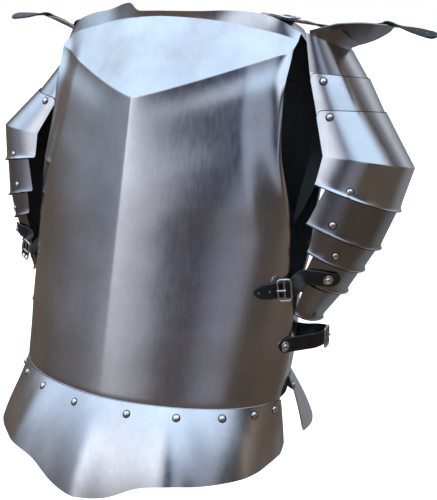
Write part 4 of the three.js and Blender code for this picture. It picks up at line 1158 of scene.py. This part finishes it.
# Body, layer, ring and place along the ring, with a second head as far from the rear edge
GUARD_RIVETS = [("second_plate", 1, 1.22, 0.095), ("lower_guard", 2, 2.15, 0.075),
                ("lower_guard", 2, 3.85, 0.165), ("lower_guard", 1, 4.76, 0.135),
                ("lower_guard", 0, 5.65, 0.22)]
for side in SIDES:
    for body in ("second_plate", "lower_guard"):
        heads = [guard_at(v, end, layer * NESTED) for part, layer, v, t in GUARD_RIVETS for end in (t, 1 - t)
                 if part == body]
        if side == "right":
            heads = [(hung_right(p), turn_right(n)) for p, n in heads]
        rivets_with_painted_shade(f"{side}_{body}_rivets", heads, f"{side}_{body}")

# %% Rivets and washers of the straps
# Radius and height, from the middle of the underside round to the top of the head
WASHER_PROFILE = [(0, 0.0), (6.0, 0.0), (6.2, 0.4), (5.8, 0.8), (3.6, 0.9), (3.5, 1.6), (2.7, 2.5),
                  (1.4, 3.0), (0, 3.1)]
WASHER_SIDES = 28


def washer_piece(name, point, normal, body, node_name):
    base = Vector(normal).normalized()
    turn = np.array(base.to_track_quat("Z", "Y").to_matrix())
    angle = np.linspace(0, 2 * math.pi, WASHER_SIDES, endpoint=False)
    points = [(r * math.cos(a), r * math.sin(a), h) for r, h in WASHER_PROFILE[1:-1] for a in angle]
    points += [(0, 0, WASHER_PROFILE[0][1]), (0, 0, WASHER_PROFILE[-1][1])]
    n, rings = WASHER_SIDES, len(WASHER_PROFILE) - 2
    faces = ring_faces(rings, n)
    faces += [[(i + 1) % n, i, rings * n] for i in range(n)]
    faces += [[(rings - 1) * n + i, (rings - 1) * n + (i + 1) % n, rings * n + 1] for i in range(n)]
    piece = mesh_piece(name, point + np.array(points) @ turn.T, faces, [steel_bright])
    outward(piece)
    smooth(piece, 35)
    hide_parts(node_name)
    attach(piece, body)
    return piece


arm_rivet = lifted(arm_strap[1], LEATHER + TOUCH / 2)
side_rivet = lifted(breast_at(SIDE_SHARE, 0.95), TOUCH + LEATHER + TOUCH / 2)
for side in SIDES:
    for name, station, body, hangs in (("arm_strap_rivet", arm_rivet, f"{side}_lower_guard", True),
                                       ("side_strap_rivet", side_rivet, "cuirass", False)):
        (point, normal), = placed_stations([station], side, [hangs])
        washer_piece(f"{side}_{name}_washer", point, normal, body, f"{side}_{name}")

# %% [markdown]
# ## Studio and camera
# A pale floor lies far below, as if the armour were worn. Polished steel shows what surrounds it, so the soft
# light is a surround made of a pale blue ceiling over walls of soft light and dark panels, each a stop by its
# direction: 0 degrees is straight ahead of the chest and positive ones are towards the wearer's left. The
# camera sees the plain pale background instead. Area lights would do as well, but each would show as a hard
# bright square in the steel.

# %% Floor
FLOOR_RISE, FLOOR_HALF = -1.45, 60
floor_corners = [(x * FLOOR_HALF, y * FLOOR_HALF, FLOOR_RISE)
                 for x, y in ((-1, -1), (1, -1), (1, 1), (-1, 1))]
floor_mesh = bpy.data.meshes.new("studio_floor")
floor_mesh.from_pydata(floor_corners, [], [(0, 1, 2, 3)])
floor = bpy.data.objects.new("studio_floor", floor_mesh)
bpy.context.scene.collection.objects.link(floor)
floor_material, floor_tree, floor_shader = new_material("studio_floor")
feed(floor_tree, floor_shader, Base_Color=(0.9, 0.9, 0.9, 1.0), Roughness=0.9,
     Emission_Color=(1.0, 1.0, 1.0, 1.0), Emission_Strength=0.75)
floor_mesh.materials.append(floor_material)
floor.visible_glossy = floor.visible_diffuse = False

# %% Surround
# Each stop: degrees from the front, then the wall's colour there
WALLS = [
    (-180, (0.24, 0.245, 0.26)), (-168, (0.30, 0.31, 0.34)), (-152, (0.85, 0.88, 0.95)),
    (-138, (0.45, 0.46, 0.50)), (-126, (0.12, 0.10, 0.09)), (-108, (0.22, 0.20, 0.18)),
    (-94, (0.20, 0.18, 0.17)), (-80, (0.26, 0.27, 0.30)), (-68, (0.36, 0.41, 0.51)),
    (-52, (0.38, 0.44, 0.56)), (-42, (0.85, 0.92, 1.05)), (-33, (1.45, 1.50, 1.62)),
    (-24, (1.45, 1.48, 1.60)), (-17, (0.95, 0.96, 1.06)), (-10, (0.55, 0.56, 0.64)),
    (-6, (0.08, 0.09, 0.13)), (8, (0.03, 0.035, 0.07)), (13, (0.22, 0.24, 0.32)), (22, (0.38, 0.42, 0.54)),
    (34, (0.42, 0.44, 0.52)), (42, (0.04, 0.04, 0.05)), (62, (0.05, 0.045, 0.04)), (90, (0.32, 0.26, 0.22)),
    (125, (0.12, 0.09, 0.075)), (148, (0.30, 0.30, 0.33)), (163, (0.78, 0.81, 0.88)),
    (172, (0.52, 0.54, 0.59)), (180, (0.24, 0.245, 0.26))]
# Each stop: degrees from the front, then the height in degrees at which the wall turns into the ceiling
CEILING_EDGE = [(-180, 60), (-120, 26), (-84, 20), (-50, 24), (-25, 30), (-5, 44), (8, 46), (22, 38),
                (60, 38), (100, 38), (140, 52), (180, 60)]
# Degrees that the walls lean towards the wearer's left for each degree of height
WALL_LEAN = 0.35
EDGE_SOFTNESS = 14
CEILING = (1.08, 1.32, 1.60)
GROUND, GROUND_BEHIND, UNDERFOOT = (0.14, 0.105, 0.08), (0.27, 0.275, 0.29), (0.50, 0.50, 0.52)


def all_round(stops):
    """Stops of a colour ramp that goes once round."""
    return {"stops": [((degrees + 180) / 360, colour) for degrees, colour in stops]}


world = bpy.data.worlds.new("studio_surround")
world.use_nodes = True
bpy.context.scene.world = world
surround = world.node_tree
surround.nodes.clear()
way = node(surround, "ShaderNodeTexCoord")[0]
way_x, way_y, way_z = node(surround, "ShaderNodeSeparateXYZ", {}, {0: way})[:3]
heading = node(surround, "ShaderNodeMath", {"operation": "ARCTAN2"}, {0: way_x, 1: 0 - way_y})[0]
turn = heading / (2 * math.pi) + 0.5
height = node(surround, "ShaderNodeMath", {"operation": "ARCSINE"}, {0: way_z})[0] * (180 / math.pi)
leant = turn - height.ramp(0.0, 60.0) * (60 * WALL_LEAN / 360)
wall = node(surround, "ShaderNodeValToRGB", all_round(WALLS), {0: leant})[0]
edge_greys = [(degrees, (rise / 90,) * 3) for degrees, rise in CEILING_EDGE]
edge = node(surround, "ShaderNodeValToRGB", all_round(edge_greys), {0: turn})[0] * 90
overhead = ((height - edge) / (2 * EDGE_SOFTNESS) + 0.5).ramp(0.0, 1.0)
ground = mixed(surround, (turn - 0.5).abs().ramp(0.36, 0.46), GROUND, GROUND_BEHIND)
ground = mixed(surround, height.ramp(-72.0, -50.0), UNDERFOOT, ground)
wall_lit = mixed(surround, height.ramp(-16.0, 26.0), ground, wall)
lit = mixed(surround, overhead, wall_lit, CEILING)
is_camera = node(surround, "ShaderNodeLightPath")[0]
seen = node(surround, "ShaderNodeBackground", {}, {0: (1, 1, 1, 1), 1: 1.0})[0]
lighting = node(surround, "ShaderNodeBackground", {}, {0: lit, 1: 1.0})[0]
choice = node(surround, "ShaderNodeMixShader", {}, {0: is_camera, 1: lighting, 2: seen})[0]
world_out = surround.nodes.new("ShaderNodeOutputWorld")
surround.links.new(choice.socket, world_out.inputs[0])

# %% Camera
# Solved from the photo. Its focal length is in pixels of the picture's longer side
FOCAL_PIXELS, LONG_SIDE_PIXELS, SENSOR_WIDTH = 1017.33, 500, 36.0
camera_data = bpy.data.cameras.new("camera")
camera = bpy.data.objects.new("camera", camera_data)
bpy.context.scene.collection.objects.link(camera)
camera.location = (0.736, -1.1091, 0.0)
camera.rotation_euler = (math.radians(90 - 13.27), 0.0, math.radians(31.82))
camera_data.sensor_fit = "AUTO"
camera_data.sensor_width = SENSOR_WIDTH
camera_data.lens = FOCAL_PIXELS * SENSOR_WIDTH / LONG_SIDE_PIXELS
camera_data.shift_x = 0.0018
camera_data.shift_y = -0.0099
camera_data.clip_end = 200
bpy.context.scene.camera = camera
bpy.context.scene.view_settings.view_transform = "Standard"
print("lens", round(camera_data.lens, 2))
